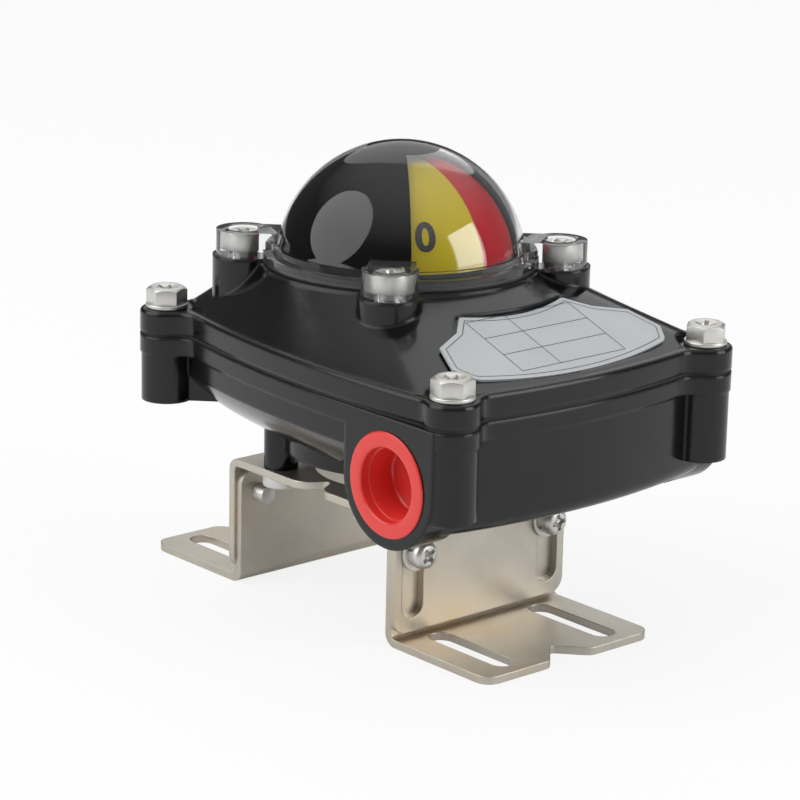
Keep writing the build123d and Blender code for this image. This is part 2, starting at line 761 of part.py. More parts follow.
with BuildPart() as shaft_bush:
    with BuildSketch(Plane.XY.offset(floor_underside)):
        Circle(bush_radius)
        Circle(shaft_radius + running_fit, mode=Mode.SUBTRACT)
    extrude(amount=bush_top - floor_underside)
    with BuildSketch(Plane.XY.offset(bush_top - 0.6)):
        Circle(bush_hub_radius)
        Circle(shaft_radius + running_fit, mode=Mode.SUBTRACT)
    extrude(amount=0.6)
save(shaft_bush.part, "shaft_bush")

with BuildPart() as shaft_circlip:
    with BuildSketch(Plane.XY.offset(floor_underside - circlip_thickness)):
        Circle(circlip_radius)
        Circle(shaft_radius - circlip_groove + running_fit, mode=Mode.SUBTRACT)
        with Locations((circlip_radius, 0)):
            Rectangle(circlip_radius + 2, 3, mode=Mode.SUBTRACT)
    extrude(amount=circlip_thickness)
save(shaft_circlip.part, "shaft_circlip")


# ---------------------------------------------------------------- cams and their spring
def cam(bottom, lobe_start):
    """Cam disc with one raised lobe, on the shaft."""
    with BuildPart() as disc:
        with BuildSketch(Plane.XY.offset(bottom)):
            Circle(cam_radius)
            add(sector(cam_lobe_radius, lobe_start, cam_lobe_span))
            Circle(shaft_radius + running_fit, mode=Mode.SUBTRACT)
        extrude(amount=cam_thickness)
    return disc.part


spring_bottom = cam_lower_bottom + cam_thickness
save(cam(cam_lower_bottom, lobe_lead + turn_down), "cam_lower")
save(cam(cam_upper_bottom, lobe_lead - turn_up), "cam_upper")

spring_wire = 0.5
spring_radius = shaft_radius + spring_wire + 0.6
spring_height = cam_upper_bottom - spring_bottom - 2 * spring_wire - 0.1
with BuildPart() as cam_spring:
    with BuildLine(Plane.XY.offset(spring_bottom + spring_wire + 0.05)) as coil:
        Helix(pitch=spring_height / 3, height=spring_height, radius=spring_radius)
    with BuildSketch(Plane(origin=coil.line @ 0, z_dir=coil.line % 0)):
        Circle(spring_wire)
    sweep(is_frenet=True)
save(cam_spring.part, "cam_spring")

# ---------------------------------------------------------------- switch frame, switches and levers
with BuildPart() as switch_frame:
    with BuildSketch(Plane.XY.offset(frame_height)):
        with Locations((frame_middle, 0)):
            Rectangle(frame_far_x - frame_near_x, 2 * frame_half_width)
        with Locations((frame_post_middle, 0)):
            with GridLocations(frame_post_pitch, 2 * frame_post_y, 2, 2):
                Circle(switch_screw_radius + bolt_clearance, mode=Mode.SUBTRACT)
        with Locations((switch_screw_x, 0)):
            with GridLocations(1, switch_hole_spacing, 1, 2):
                Circle(switch_screw_radius + running_fit, mode=Mode.SUBTRACT)
    extrude(amount=frame_thickness)
save(switch_frame.part, "switch_frame")

with BuildPart() as frame_screws:
    with BuildSketch(Plane.XY.offset(frame_height + frame_thickness)):
        with Locations((frame_post_middle, 0)):
            with GridLocations(frame_post_pitch, 2 * frame_post_y, 2, 2):
                Circle(2 * switch_screw_radius)
    extrude(amount=small_head_height)
    with BuildSketch(Plane.XY.offset(frame_height + frame_thickness)):
        with Locations((frame_post_middle, 0)):
            with GridLocations(frame_post_pitch, 2 * frame_post_y, 2, 2):
                Circle(switch_screw_radius)
    extrude(amount=-frame_thickness - small_screw_reach)
save(frame_screws.part, "frame_screws")

plunger_well = plunger_travel + 1.2
ear_reach = lever_stand_off + lever_thickness + 0.1
ear_y = lever_pivot_y - lever_barrel_radius - lever_ear_gap - lever_ear_thickness / 2


def microswitch(bottom):
    """Snap-action switch body with its fixing holes and three tabs."""
    with BuildPart() as body:
        with BuildSketch(Plane.XY.offset(bottom)):
            with Locations((switch_middle_x, 0)):
                Rectangle(switch_depth, switch_length)
            with Locations((switch_screw_x, 0)):
                with GridLocations(1, switch_hole_spacing, 1, 2):
                    Circle(switch_screw_radius + running_fit, mode=Mode.SUBTRACT)
            with Locations((switch_face_x, plunger_y)):
                Rectangle(2 * plunger_well, 2 * plunger_radius + 0.4, mode=Mode.SUBTRACT)
        extrude(amount=switch_height)
        with BuildSketch(Plane.XY.offset(bottom + switch_height / 2 - 3)):
            with Locations((switch_face_x + switch_depth, 0)):
                with GridLocations(1, 9.0, 1, 3):
                    Rectangle(9.0, 0.8)
        extrude(amount=6)
        with BuildSketch(Plane.XY.offset(bottom + (switch_height - lever_width) / 2 - 0.6)):
            with Locations((switch_face_x - ear_reach / 2, ear_y)):
                Rectangle(ear_reach, lever_ear_thickness)
        extrude(amount=lever_width + 1.2)
    return body.part


def switch_plunger(bottom):
    """Button of the switch, standing a little out of its face."""
    stop = switch_face_x - plunger_stand_out
    middle = bottom + switch_height / 2
    with BuildPart() as plunger:
        with BuildSketch(Plane(origin=(stop, plunger_y, middle), x_dir=(0, 1, 0), z_dir=(1, 0, 0))):
            Circle(plunger_radius)
        extrude(amount=plunger_stand_out + 1.0)
    return plunger.part


def switch_lever(bottom):
    """Spring-steel lever with a rolled hinge barrel and a rounded tip."""
    height = bottom + (switch_height - lever_width) / 2
    near = switch_face_x - lever_stand_off
    tip_y = lever_pivot_y + lever_length - lever_tip_radius
    with BuildPart() as lever:
        with BuildSketch(Plane.XY.offset(height)):
            with Locations((near - lever_thickness / 2, lever_pivot_y + lever_length / 2)):
                Rectangle(lever_thickness, lever_length)
            with Locations((near - lever_thickness / 2, lever_pivot_y)):
                Circle(lever_barrel_radius)
            with Locations((near - lever_thickness / 2 - lever_tip_offset, tip_y)):
                Circle(lever_tip_radius)
        extrude(amount=lever_width)
    return lever.part


for level, bottom in (("lower", switch_lower_bottom), ("upper", switch_upper_bottom)):
    save(microswitch(bottom), f"microswitch_{level}")
    save(switch_plunger(bottom), f"switch_plunger_{level}")
    save(switch_lever(bottom), f"switch_lever_{level}")

switch_stack_top = switch_upper_bottom + switch_height
with BuildPart() as switch_screws:
    with BuildSketch(Plane.XY.offset(switch_stack_top)):
        with Locations((switch_screw_x, 0)):
            with GridLocations(1, switch_hole_spacing, 1, 2):
                Circle(2 * switch_screw_radius)
    extrude(amount=small_head_height)
    with BuildSketch(Plane.XY.offset(switch_stack_top)):
        with Locations((switch_screw_x, 0)):
            with GridLocations(1, switch_hole_spacing, 1, 2):
                Circle(switch_screw_radius)
    extrude(amount=frame_height - switch_stack_top)
save(switch_screws.part, "switch_screws")

with BuildPart() as switch_spacer:
    with BuildSketch(Plane.XY.offset(switch_lower_bottom + switch_height)):
        with Locations((switch_middle_x + 2, 0)):
            Rectangle(switch_depth - 4, switch_length)
        with Locations((switch_screw_x, 0)):
            with GridLocations(1, switch_hole_spacing, 1, 2):
                Circle(switch_screw_radius + running_fit, mode=Mode.SUBTRACT)
    extrude(amount=switch_gap)
save(switch_spacer.part, "switch_spacer")

# ---------------------------------------------------------------- terminals and earth screw
terminal_bottom = frame_height + frame_thickness
terminal_floor = terminal_bottom + terminal_height - terminal_channel
with BuildPart() as terminal_block:
    with BuildSketch(Plane.XY.offset(terminal_bottom)):
        with Locations((terminal_x, 0)):
            Rectangle(terminal_width, terminal_length)
    extrude(amount=terminal_height)
    with BuildSketch(Plane.XY.offset(terminal_floor)):
        with Locations((terminal_x, 0)):
            with GridLocations(1, terminal_pitch, 1, terminal_count):
                Rectangle(terminal_width + 2, terminal_pitch - terminal_rib)
    extrude(amount=terminal_channel, mode=Mode.SUBTRACT)
    with BuildSketch(Plane.XY.offset(terminal_floor)):
        with Locations((terminal_x, 0)):
            with GridLocations(terminal_width / 2, terminal_pitch, 2, terminal_count):
                Circle(terminal_screw_radius * 0.6 + running_fit)
    extrude(amount=-terminal_screw_reach - 1, mode=Mode.SUBTRACT)
save(terminal_block.part, "terminal_block")

with BuildPart() as terminal_screws:
    with BuildSketch(Plane.XY.offset(terminal_floor)):
        with Locations((terminal_x, 0)):
            with GridLocations(terminal_width / 2, terminal_pitch, 2, terminal_count):
                Circle(terminal_screw_radius)
    extrude(amount=terminal_head_height)
    with BuildSketch(Plane.XY.offset(terminal_floor)):
        with Locations((terminal_x, 0)):
            with GridLocations(terminal_width / 2, terminal_pitch, 2, terminal_count):
                Circle(terminal_screw_radius * 0.6)
    extrude(amount=-terminal_screw_reach)
save(terminal_screws.part, "terminal_screws")

with BuildPart() as earth_screw:
    with BuildSketch(Plane.XY.offset(frame_height)):
        with Locations((earth_screw_x, earth_screw_y)):
            Circle(2 * earth_screw_radius)
    extrude(amount=2.0)
    with BuildSketch(Plane.XY.offset(frame_height)):
        with Locations((earth_screw_x, earth_screw_y)):
            Circle(earth_screw_radius)
    extrude(amount=-small_screw_reach)
    with BuildSketch(Plane.XY.offset(frame_height + 2.0)):
        with Locations((earth_screw_x, earth_screw_y)):
            Rectangle(5, 0.9)
    extrude(amount=-0.9, mode=Mode.SUBTRACT)
save(earth_screw.part, "earth_screw")


# ---------------------------------------------------------------- cable entry plugs
def cable_plug(side):
    """Flanged plug screwed into a cable entry, with a stepped blind bore."""
    face = entry_plane(side)
    with BuildPart() as plug:
        with BuildSketch(face):
            Circle(plug_flange_radius)
        extrude(amount=plug_flange_thickness)
        fillet(plug.faces().sort_by(Axis.Y)[0 if side < 0 else -1].edges(), 0.25)
        with BuildSketch(face):
            Circle(entry_thread_radius)
        extrude(amount=-plug_length)
        with BuildSketch(face.offset(plug_flange_thickness)):
            Circle(plug_bore_radius)
        extrude(amount=-plug_bore_depth, mode=Mode.SUBTRACT)
        with BuildSketch(face.offset(plug_flange_thickness - plug_bore_depth)):
            Circle(plug_step_radius)
        extrude(amount=-plug_step_depth, mode=Mode.SUBTRACT)
    return plug.part


save(cable_plug(-1), "cable_plug_front")
save(cable_plug(1), "cable_plug_rear")

# ---------------------------------------------------------------- top bracket
flange_bottom = sheet + flange_gap
adjust_slot_top = adjust_screw_height + adjust_slot_width / 2
adjust_slot_length = adjust_travel + adjust_slot_width
adjust_slot_middle = adjust_slot_top - adjust_slot_length / 2

with BuildPart() as bracket_top:
    with BuildSketch(Plane.XZ.offset(-top_width / 2)) as channel:
        with Locations((0, (plate_top + flange_bottom) / 2)):
            Rectangle(2 * top_half_length, plate_top - flange_bottom)
        fillet(channel.vertices().group_by(Axis.Y)[-1], bend_radius)
        with Locations((0, (plate_top - sheet + flange_bottom) / 2)):
            Rectangle(2 * foot_leg_outer, plate_top - sheet - flange_bottom, mode=Mode.SUBTRACT)
        fillet(channel.vertices().group_by(Axis.Y)[-2], bend_radius - sheet)
    extrude(amount=top_width)
    with BuildSketch(Plane.XY.offset(plate_top)):
        Circle(shaft_window_radius)
        with GridLocations(body_boss_spacing_x, body_boss_spacing_y, 2, 2):
            Circle(body_screw_radius + bolt_clearance)
        for side in (-1, 1):
            edge = side * top_width / 2
            with BuildLine():
                Spline(
                    (-waist_half_width, edge),
                    (0, edge - side * waist_depth),
                    (waist_half_width, edge),
                    tangents=[(1, 0), (1, 0), (1, 0)],
                )
                Line((waist_half_width, edge), (-waist_half_width, edge))
            make_face()
    extrude(amount=-sheet, mode=Mode.SUBTRACT)
    with BuildSketch(Plane.YZ.offset(-top_half_length - 1)):
        with Locations((0, adjust_slot_middle)):
            with GridLocations(adjust_slot_spacing, 1, 2, 1):
                SlotOverall(adjust_slot_length, adjust_slot_width, rotation=90)
    extrude(amount=2 * top_half_length + 2, mode=Mode.SUBTRACT)
    fillet(bracket_top.edges().filter_by(Axis.X).group_by(Axis.Z)[0], sheet_corner)
save(bracket_top.part, "bracket_top")

with BuildPart() as bracket_top_screws:
    with BuildSketch(Plane.XY.offset(plate_top - sheet)):
        with GridLocations(body_boss_spacing_x, body_boss_spacing_y, 2, 2):
            Circle(body_screw_head_radius)
    extrude(amount=-body_screw_head_height)
    fillet(bracket_top_screws.faces().group_by(Axis.Z)[0].edges(), 0.8)
    with BuildSketch(Plane.XY.offset(plate_top - sheet)):
        with GridLocations(body_boss_spacing_x, body_boss_spacing_y, 2, 2):
            Circle(body_screw_radius)
    extrude(amount=body_screw_length)
save(bracket_top_screws.part, "bracket_top_screws")


# ---------------------------------------------------------------- feet and their fasteners
def build_foot():
    """Angle foot at the cable end: an upright leg and a slotted, notched flange."""
    with BuildPart() as foot:
        with BuildSketch(Plane.XZ.offset(-foot_width / 2)) as angle:
            with Locations(((foot_leg_inner + foot_edge) / 2, sheet / 2)):
                Rectangle(foot_edge - foot_leg_inner, sheet)
            with Locations(((foot_leg_inner + foot_leg_outer) / 2, foot_leg_top / 2)):
                Rectangle(sheet, foot_leg_top)
            fillet(angle.vertices().sort_by_distance((foot_leg_inner, 0, 0))[0], bend_radius)
        extrude(amount=foot_width)
        fillet(foot.edges().filter_by(Axis.Y).sort_by_distance((foot_leg_outer, 0, sheet))[0], bend_radius - sheet)
        fillet(foot.edges().filter_by(Axis.Z).group_by(Axis.X)[-1], sheet_corner)
        fillet(foot.edges().filter_by(Axis.X).group_by(Axis.Z)[-1], sheet_corner)
        with BuildSketch(Plane.XY) as openings:
            with Locations((mount_spacing_x / 2, 0)):
                with GridLocations(1, mount_spacing_y, 1, 2):
                    SlotOverall(mount_slot_length, mount_slot_width)
            with BuildLine():
                Polyline(
                    (foot_edge + 1, -notch_half_width),
                    (foot_edge, -notch_half_width),
                    (foot_edge - notch_depth, 0),
                    (foot_edge, notch_half_width),
                    (foot_edge + 1, notch_half_width),
                    close=True,
                )
            make_face()
        extrude(amount=sheet, mode=Mode.SUBTRACT)
        fillet(foot.edges().filter_by(Axis.Z).sort_by_distance((foot_edge - notch_depth, 0, 1))[0], 1.2)
        for side in (-1, 1):
            shoulder = (foot_edge, side * notch_half_width, 1)
            fillet(foot.edges().filter_by(Axis.Z).sort_by_distance(shoulder)[0], notch_shoulder_radius)
        with BuildSketch(Plane.YZ.offset(foot_leg_inner - 1)):
            with Locations((0, adjust_screw_height)):
                with GridLocations(adjust_screw_spacing, 1, 2, 1):
                    Circle(adjust_screw_radius + running_fit)
        extrude(amount=sheet + 2, mode=Mode.SUBTRACT)
    return foot.part


def adjust_ring(inner, outer, start, thickness):
    """Pair of rings round the height screws of the foot at the cable end."""
    with BuildPart() as rings:
        with BuildSketch(Plane.YZ.offset(start)):
            with Locations((0, adjust_screw_height)):
                with GridLocations(adjust_screw_spacing, 1, 2, 1):
                    Circle(outer)
                    Circle(inner, mode=Mode.SUBTRACT)
        extrude(amount=thickness)
    return rings.part


def adjust_screws():
    """Pair of cross-recessed screws that clamp the foot at the cable end."""
    seat = top_half_length + flat_washer_thickness + spring_washer_thickness
    with BuildPart() as screws:
        with BuildSketch(Plane.YZ.offset(seat)):
            with Locations((0, adjust_screw_height)):
                with GridLocations(adjust_screw_spacing, 1, 2, 1):
                    Circle(adjust_head_radius)
        extrude(amount=adjust_head_height)
        fillet(screws.faces().group_by(Axis.X)[-1].edges(), 1.2)
        with BuildSketch(Plane.YZ.offset(seat)):
            with Locations((0, adjust_screw_height)):
                with GridLocations(adjust_screw_spacing, 1, 2, 1):
                    Circle(adjust_screw_radius)
        extrude(amount=-adjust_screw_length)
        with BuildSketch(Plane.YZ.offset(seat + adjust_head_height)):
            with Locations((0, adjust_screw_height)):
                with GridLocations(adjust_screw_spacing, 1, 2, 1):
                    Rectangle(3.4, 0.9)
                    Rectangle(0.9, 3.4)
        extrude(amount=-1.5, mode=Mode.SUBTRACT)
    return screws.part


ring_inner = adjust_screw_radius + running_fit
spring_washer_start = top_half_length + flat_washer_thickness
right_side = {
    "foot": build_foot(),
    "screws": adjust_screws(),
    "flat_washers": adjust_ring(ring_inner, flat_washer_radius, top_half_length, flat_washer_thickness),
    "spring_washers": adjust_ring(
        ring_inner, spring_washer_radius, spring_washer_start, spring_washer_thickness
    ),
}
for name, piece in right_side.items():
    save(piece, f"bracket_{name}_right")
    save(piece.mirror(Plane.YZ), f"bracket_{name}_left")
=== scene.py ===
"""Dresses the limit switch box: finishes for every piece, turned and pressed fasteners, printed plates and a studio."""

from math import atan2, cos, degrees, hypot, pi, radians, sin

import bmesh
import bpy
from mathutils import Matrix, Vector


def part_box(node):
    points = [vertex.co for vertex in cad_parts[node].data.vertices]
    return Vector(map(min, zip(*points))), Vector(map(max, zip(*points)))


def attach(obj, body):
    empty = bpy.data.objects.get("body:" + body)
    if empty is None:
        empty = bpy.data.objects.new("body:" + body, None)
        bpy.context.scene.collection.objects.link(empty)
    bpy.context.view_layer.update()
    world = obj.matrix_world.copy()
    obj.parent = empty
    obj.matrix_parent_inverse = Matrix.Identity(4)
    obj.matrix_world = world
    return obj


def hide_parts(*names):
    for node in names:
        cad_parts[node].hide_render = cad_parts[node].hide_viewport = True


bl_info = {
    "name": "Limit switch box",
    "version": (1, 0, 0),
    "blender": (4, 5, 0),
    "location": "View3D > Sidebar > Switch box",
    "description": "Finishes, fasteners, prints and studio of a valve limit switch box",
    "category": "Object",
}

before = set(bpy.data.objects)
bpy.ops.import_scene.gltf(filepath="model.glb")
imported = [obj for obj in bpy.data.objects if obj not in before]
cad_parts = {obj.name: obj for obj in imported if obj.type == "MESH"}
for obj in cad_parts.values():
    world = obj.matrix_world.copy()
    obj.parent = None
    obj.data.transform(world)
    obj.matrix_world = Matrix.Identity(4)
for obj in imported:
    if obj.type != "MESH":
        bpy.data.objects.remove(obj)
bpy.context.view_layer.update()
MM = 0.001
SKY = ((0.0, 0.04), (1.0, 0.28), (0.45, 0.10))  # height above the horizon, brightness
QUARTERS = (45, 135, 225, 315)  # the dome's four lugs, in degrees


# ---------------------------------------------------------------- material helpers
class Finish:
    """A node material with its shader at hand."""

    def __init__(self, name):
        self.material = bpy.data.materials.new(name)
        self.material.use_nodes = True
        self.tree = self.material.node_tree
        self.shader = next(n for n in self.tree.nodes if n.type == "BSDF_PRINCIPLED")
        self.place = self.add("ShaderNodeTexCoord")

    def add(self, kind, **settings):
        node = self.tree.nodes.new(kind)
        for key, value in settings.items():
            setattr(node, key, value)
        return node

    def link(self, source, target):
        self.tree.links.new(source, target)

    def spread(self, stretch=(1, 1, 1)):
        """Object coordinates, stretched along each axis."""
        mapping = self.add("ShaderNodeMapping")
        mapping.inputs["Scale"].default_value = stretch
        self.link(self.place.outputs["Object"], mapping.inputs["Vector"])
        return mapping.outputs["Vector"]

    def noise(self, scale, detail=3.0, roughness=0.5, stretch=(1, 1, 1)):
        node = self.add("ShaderNodeTexNoise")
        node.inputs["Scale"].default_value = scale
        node.inputs["Detail"].default_value = detail
        node.inputs["Roughness"].default_value = roughness
        self.link(self.spread(stretch), node.inputs["Vector"])
        return node.outputs["Fac"]

    def ramp(self, source, stops):
        """Colour ramp with (position, colour) stops."""
        node = self.add("ShaderNodeValToRGB")
        elements = node.color_ramp.elements
        while len(elements) < len(stops):
            elements.new(0.5)
        for element, (position, colour) in zip(elements, stops):
            element.position = position
            element.color = (*colour, 1) if len(colour) == 3 else colour
        self.link(source, node.inputs["Fac"])
        return node.outputs["Color"]

    def span(self, source, low, high, start=0.3, end=0.7):
        """Maps a factor between two limits to a range of values."""
        node = self.add("ShaderNodeMapRange")
        node.inputs["From Min"].default_value = start
        node.inputs["From Max"].default_value = end
        node.inputs["To Min"].default_value = low
        node.inputs["To Max"].default_value = high
        self.link(source, node.inputs["Value"])
        return node.outputs["Result"]

    def bump(self, source, strength, distance):
        node = self.add("ShaderNodeBump")
        node.inputs["Strength"].default_value = strength
        node.inputs["Distance"].default_value = distance
        self.link(source, node.inputs["Height"])
        last = self.shader.inputs["Normal"]
        if last.is_linked:
            self.link(last.links[0].from_socket, node.inputs["Normal"])
        self.link(node.outputs["Normal"], last)

    def round_edges(self, radius):
        """Softens edges in the light, as cast or deburred edges are."""
        node = self.add("ShaderNodeBevel", samples=6)
        node.inputs["Radius"].default_value = radius
        self.link(node.outputs["Normal"], self.shader.inputs["Normal"])

    def set(self, **sockets):
        for key, value in sockets.items():
            self.shader.inputs[key.replace("_", " ")].default_value = value


def cast_enamel(name, colour, gloss):
    """Glossy black enamel over a sand-cast skin."""
    f = Finish(name)
    skin = f.noise(110, 4, 0.5)
    peel = f.noise(900, 2, 0.5)
    dull = f.noise(30, 5, 0.6)
    dark = tuple(0.7 * c for c in colour)
    light = tuple(1.4 * c + 0.002 for c in colour)
    f.round_edges(0.0011)
    f.link(f.ramp(dull, [(0.3, dark), (0.72, light)]), f.shader.inputs["Base Color"])
    f.link(f.span(dull, gloss, gloss + 0.09), f.shader.inputs["Roughness"])
    f.bump(skin, 0.09, 0.0005)
    f.bump(peel, 0.08, 0.00005)
    f.set(IOR=1.43)
    return f.material


def brushed_metal(name, colour, rough, grain=(1, 14, 14), stain_and_reflection=0.16, edge=0.0003, wave=0.06):
    """Rolled or plated metal with fine streaks and faint warm patches: stains, and on the bracket a painted warm
    reflection.
    """
    f = Finish(name)
    streak = f.noise(500, 3, 0.6, grain)
    cloud = f.noise(45, 4, 0.6)
    # warm cloud patches: faint stains, and on the bracket a painted warm reflection
    warm_stain_and_reflection = (colour[0], colour[1] * (1 - stain_and_reflection * 0.45), colour[2] * (1 - stain_and_reflection))
    dark = tuple(0.86 * c for c in colour)
    f.round_edges(edge)
    f.link(f.ramp(cloud, [(0.28, dark), (0.5, colour), (0.75, warm_stain_and_reflection)]), f.shader.inputs["Base Color"])
    f.link(f.span(streak, rough - 0.05, rough + 0.1), f.shader.inputs["Roughness"])
    f.bump(streak, wave, 0.00004)
    f.bump(cloud, 0.05, 0.0003)
    f.set(Metallic=1.0)
    return f.material


def turned_metal(name, colour, rough, pitch=2600):
    """Turned metal with rings about the shaft's axis."""
    f = Finish(name)
    rings = f.add("ShaderNodeTexWave", wave_type="BANDS", bands_direction="Z")
    rings.inputs["Scale"].default_value = pitch
    rings.inputs["Distortion"].default_value = 0.6
    f.link(f.spread(), rings.inputs["Vector"])
    cloud = f.noise(160, 3, 0.5)
    dark = tuple(0.78 * c for c in colour)
    f.link(f.ramp(cloud, [(0.3, dark), (0.7, colour)]), f.shader.inputs["Base Color"])
    f.link(f.span(cloud, rough - 0.05, rough + 0.1), f.shader.inputs["Roughness"])
    f.bump(rings.outputs["Fac"], 0.08, 0.00005)
    f.set(Metallic=1.0)
    return f.material


def moulded_plastic(name, colour, rough, grain=0.08, shade=0.82, shine=0.5):
    """Injection-moulded plastic with a faint skin and slow colour drift."""
    f = Finish(name)
    drift = f.noise(60, 3, 0.5)
    skin = f.noise(1500, 2, 0.5)
    dark = tuple(shade * c for c in colour)
    f.round_edges(0.0002)
    f.link(f.ramp(drift, [(0.25, dark), (0.75, colour)]), f.shader.inputs["Base Color"])
    f.link(f.span(drift, rough - 0.04, rough + 0.08), f.shader.inputs["Roughness"])
    f.bump(skin, grain, 0.00003)
    f.set(IOR=1.49, Specular_IOR_Level=shine)
    return f.material


def moulded_rubber(name, colour):
    """Matt rubber with a fine grain."""
    f = Finish(name)
    grain = f.noise(2200, 3, 0.6)
    bloom = f.noise(90, 4, 0.6)
    light = tuple(2.2 * c + 0.01 for c in colour)
    f.link(f.ramp(bloom, [(0.35, colour), (0.8, light)]), f.shader.inputs["Base Color"])
    f.link(f.span(bloom, 0.62, 0.82), f.shader.inputs["Roughness"])
    f.bump(grain, 0.2, 0.0001)
    return f.material


def clear_acrylic(name, tint, clarity=1.0):
    """Clear moulded acrylic with faint flow marks, a little milky where it is thick."""
    f = Finish(name)
    flow = f.noise(70, 2, 0.5)
    f.link(f.span(flow, 0.015, 0.05), f.shader.inputs["Roughness"])
    f.bump(flow, 0.02, 0.0003)
    f.set(Transmission_Weight=clarity, IOR=1.49, Base_Color=(*tint, 1))
    return f.material


def coated_sheet(name, colour):
    """Pale coated sheet of the label, with a fine satin grain."""
    f = Finish(name)
    grain = f.noise(1400, 2, 0.5, (1, 6, 1))
    cloud = f.noise(50, 3, 0.5)
    dark = tuple(0.9 * c for c in colour)
    f.link(f.ramp(cloud, [(0.3, dark), (0.7, colour)]), f.shader.inputs["Base Color"])
    f.link(f.span(grain, 0.34, 0.5), f.shader.inputs["Roughness"])
    f.bump(grain, 0.06, 0.00005)
    f.set(Metallic=0.15)
    return f.material


def printed_ink(name, colour):
    """Screen-printed ink with a slightly broken edge."""
    f = Finish(name)
    speck = f.noise(1800, 3, 0.6)
    light = tuple(c + 0.03 for c in colour)
    f.link(f.ramp(speck, [(0.35, colour), (0.8, light)]), f.shader.inputs["Base Color"])
    f.link(f.span(speck, 0.35, 0.55), f.shader.inputs["Roughness"])
    f.bump(speck, 0.05, 0.00002)
    return f.material


# ---------------------------------------------------------------- settings
class FinishSettings(bpy.types.PropertyGroup):
    """Colours of the box's finishes."""

    enamel: bpy.props.FloatVectorProperty(
        name="Enamel",
        description="Colour of the cast housing and cover",
        subtype="COLOR",
        default=(0.0035, 0.0037, 0.0040),
    )
    enamel_gloss: bpy.props.FloatProperty(
        name="Enamel roughness",
        description="Roughness of the enamel at its glossiest",
        default=0.10,
        min=0.02,
        max=1,
        subtype="FACTOR",
    )
    bracket: bpy.props.FloatVectorProperty(
        name="Bracket steel", description="Colour of the bracket's sheet", subtype="COLOR", default=(0.60, 0.56, 0.49)
    )
    fastener: bpy.props.FloatVectorProperty(
        name="Fastener steel",
        description="Colour of bolts, screws and washers",
        subtype="COLOR",
        default=(0.44, 0.425, 0.39),
    )
    plug: bpy.props.FloatVectorProperty(
        name="Plug", description="Colour of the cable entry plugs", subtype="COLOR", default=(0.34, 0.004, 0.004)
    )
    label: bpy.props.FloatVectorProperty(
        name="Label", description="Colour of the label sheet", subtype="COLOR", default=(0.46, 0.485, 0.495)
    )
    open_colour: bpy.props.FloatVectorProperty(
        name="Open", description="Colour of the panels that show open", subtype="COLOR", default=(0.70, 0.54, 0.004)
    )
    closed_colour: bpy.props.FloatVectorProperty(
        name="Closed",
        description="Colour of the panels that show closed",
        subtype="COLOR",
        default=(0.60, 0.008, 0.018),
    )


class FastenerSettings(bpy.types.PropertyGroup):
    """Sizes of the visible fasteners, in millimetres."""

    hex_flats: bpy.props.FloatProperty(name="Hexagon", description="Hexagon across flats", default=8.0, min=3, max=20)
    hex_crown: bpy.props.FloatProperty(
        name="Hexagon crown", description="Radius of the turned crown", default=3.5, min=1, max=10
    )
    edge: bpy.props.FloatProperty(name="Edge", description="Rounding of turned edges", default=0.25, min=0.02, max=1)
    recess: bpy.props.FloatProperty(
        name="Recess", description="Width of a cross recess's arm", default=1.0, min=0.3, max=3
    )
    slit: bpy.props.FloatProperty(name="Slit", description="Gap of a split spring washer", default=0.7, min=0.2, max=3)


class IndicatorSettings(bpy.types.PropertyGroup):
    """Sizes of the dome and of its numerals, in millimetres."""

    dome: bpy.props.FloatProperty(name="Dome", description="Outer radius of the dome", default=28.0, min=10, max=60)
    dome_wall: bpy.props.FloatProperty(name="Dome wall", description="Wall of the dome", default=1.1, min=0.5, max=4)
    flange: bpy.props.FloatProperty(
        name="Flange", description="Radius of the dome's flange", default=30.7, min=12, max=70
    )
    lug: bpy.props.FloatProperty(name="Lug", description="Radius of a screw lug", default=6.2, min=3, max=15)
    window: bpy.props.FloatProperty(
        name="Window", description="Where a window of the mask starts, degrees", default=-36.5, min=-90, max=90
    )
    cap: bpy.props.FloatProperty(
        name="Cap", description="Where the mask's cap starts, degrees", default=73, min=45, max=85
    )
    numeral: bpy.props.FloatProperty(name="Numeral", description="Height of the numerals", default=6.2, min=2, max=15)
    numeral_rise: bpy.props.FloatProperty(
        name="Numeral rise",
        description="Foot of the numerals above the dome's middle, degrees",
        default=20,
        min=0,
        max=60,
    )


class LabelSettings(bpy.types.PropertyGroup):
    """Sizes of the label's print, in millimetres."""

    margin: bpy.props.FloatProperty(
        name="Margin", description="Border line from the label's edge", default=1.1, min=0.3, max=5
    )
    line: bpy.props.FloatProperty(name="Line", description="Width of the printed lines", default=0.22, min=0.1, max=2)
    rows: bpy.props.IntProperty(name="Rows", description="Empty rows of the printed table", default=3, min=1, max=10)


class StudioSettings(bpy.types.PropertyGroup):
    """Camera and light."""

    azimuth: bpy.props.FloatProperty(
        name="Azimuth",
        description="Camera's turn round the box",
        default=radians(48.537),
        subtype="ANGLE",
        unit="ROTATION",
    )
    elevation: bpy.props.FloatProperty(
        name="Elevation", description="Camera's height angle", default=radians(15.731), subtype="ANGLE", unit="ROTATION"
    )
    roll: bpy.props.FloatProperty(
        name="Roll", description="Camera's roll", default=radians(1.239), subtype="ANGLE", unit="ROTATION"
    )
    distance: bpy.props.FloatProperty(
        name="Distance", description="Camera's distance from its aim", default=0.696, subtype="DISTANCE", unit="LENGTH"
    )
    lens: bpy.props.FloatProperty(
        name="Lens", description="Focal length in millimetres", default=139.27, min=20, max=300
    )


# ---------------------------------------------------------------- stage
def area_light(name, place, aim, size, power, shape="SQUARE"):
    """Soft light that points at a place."""
    data = bpy.data.lights.new(name, "AREA")
    data.shape = shape
    data.size = size
    data.energy = power
    light = bpy.data.objects.new(name, data)
    bpy.context.scene.collection.objects.link(light)
    light.location = place
    light.rotation_euler = (Vector(aim) - Vector(place)).to_track_quat("-Z", "Y").to_euler()
    return light


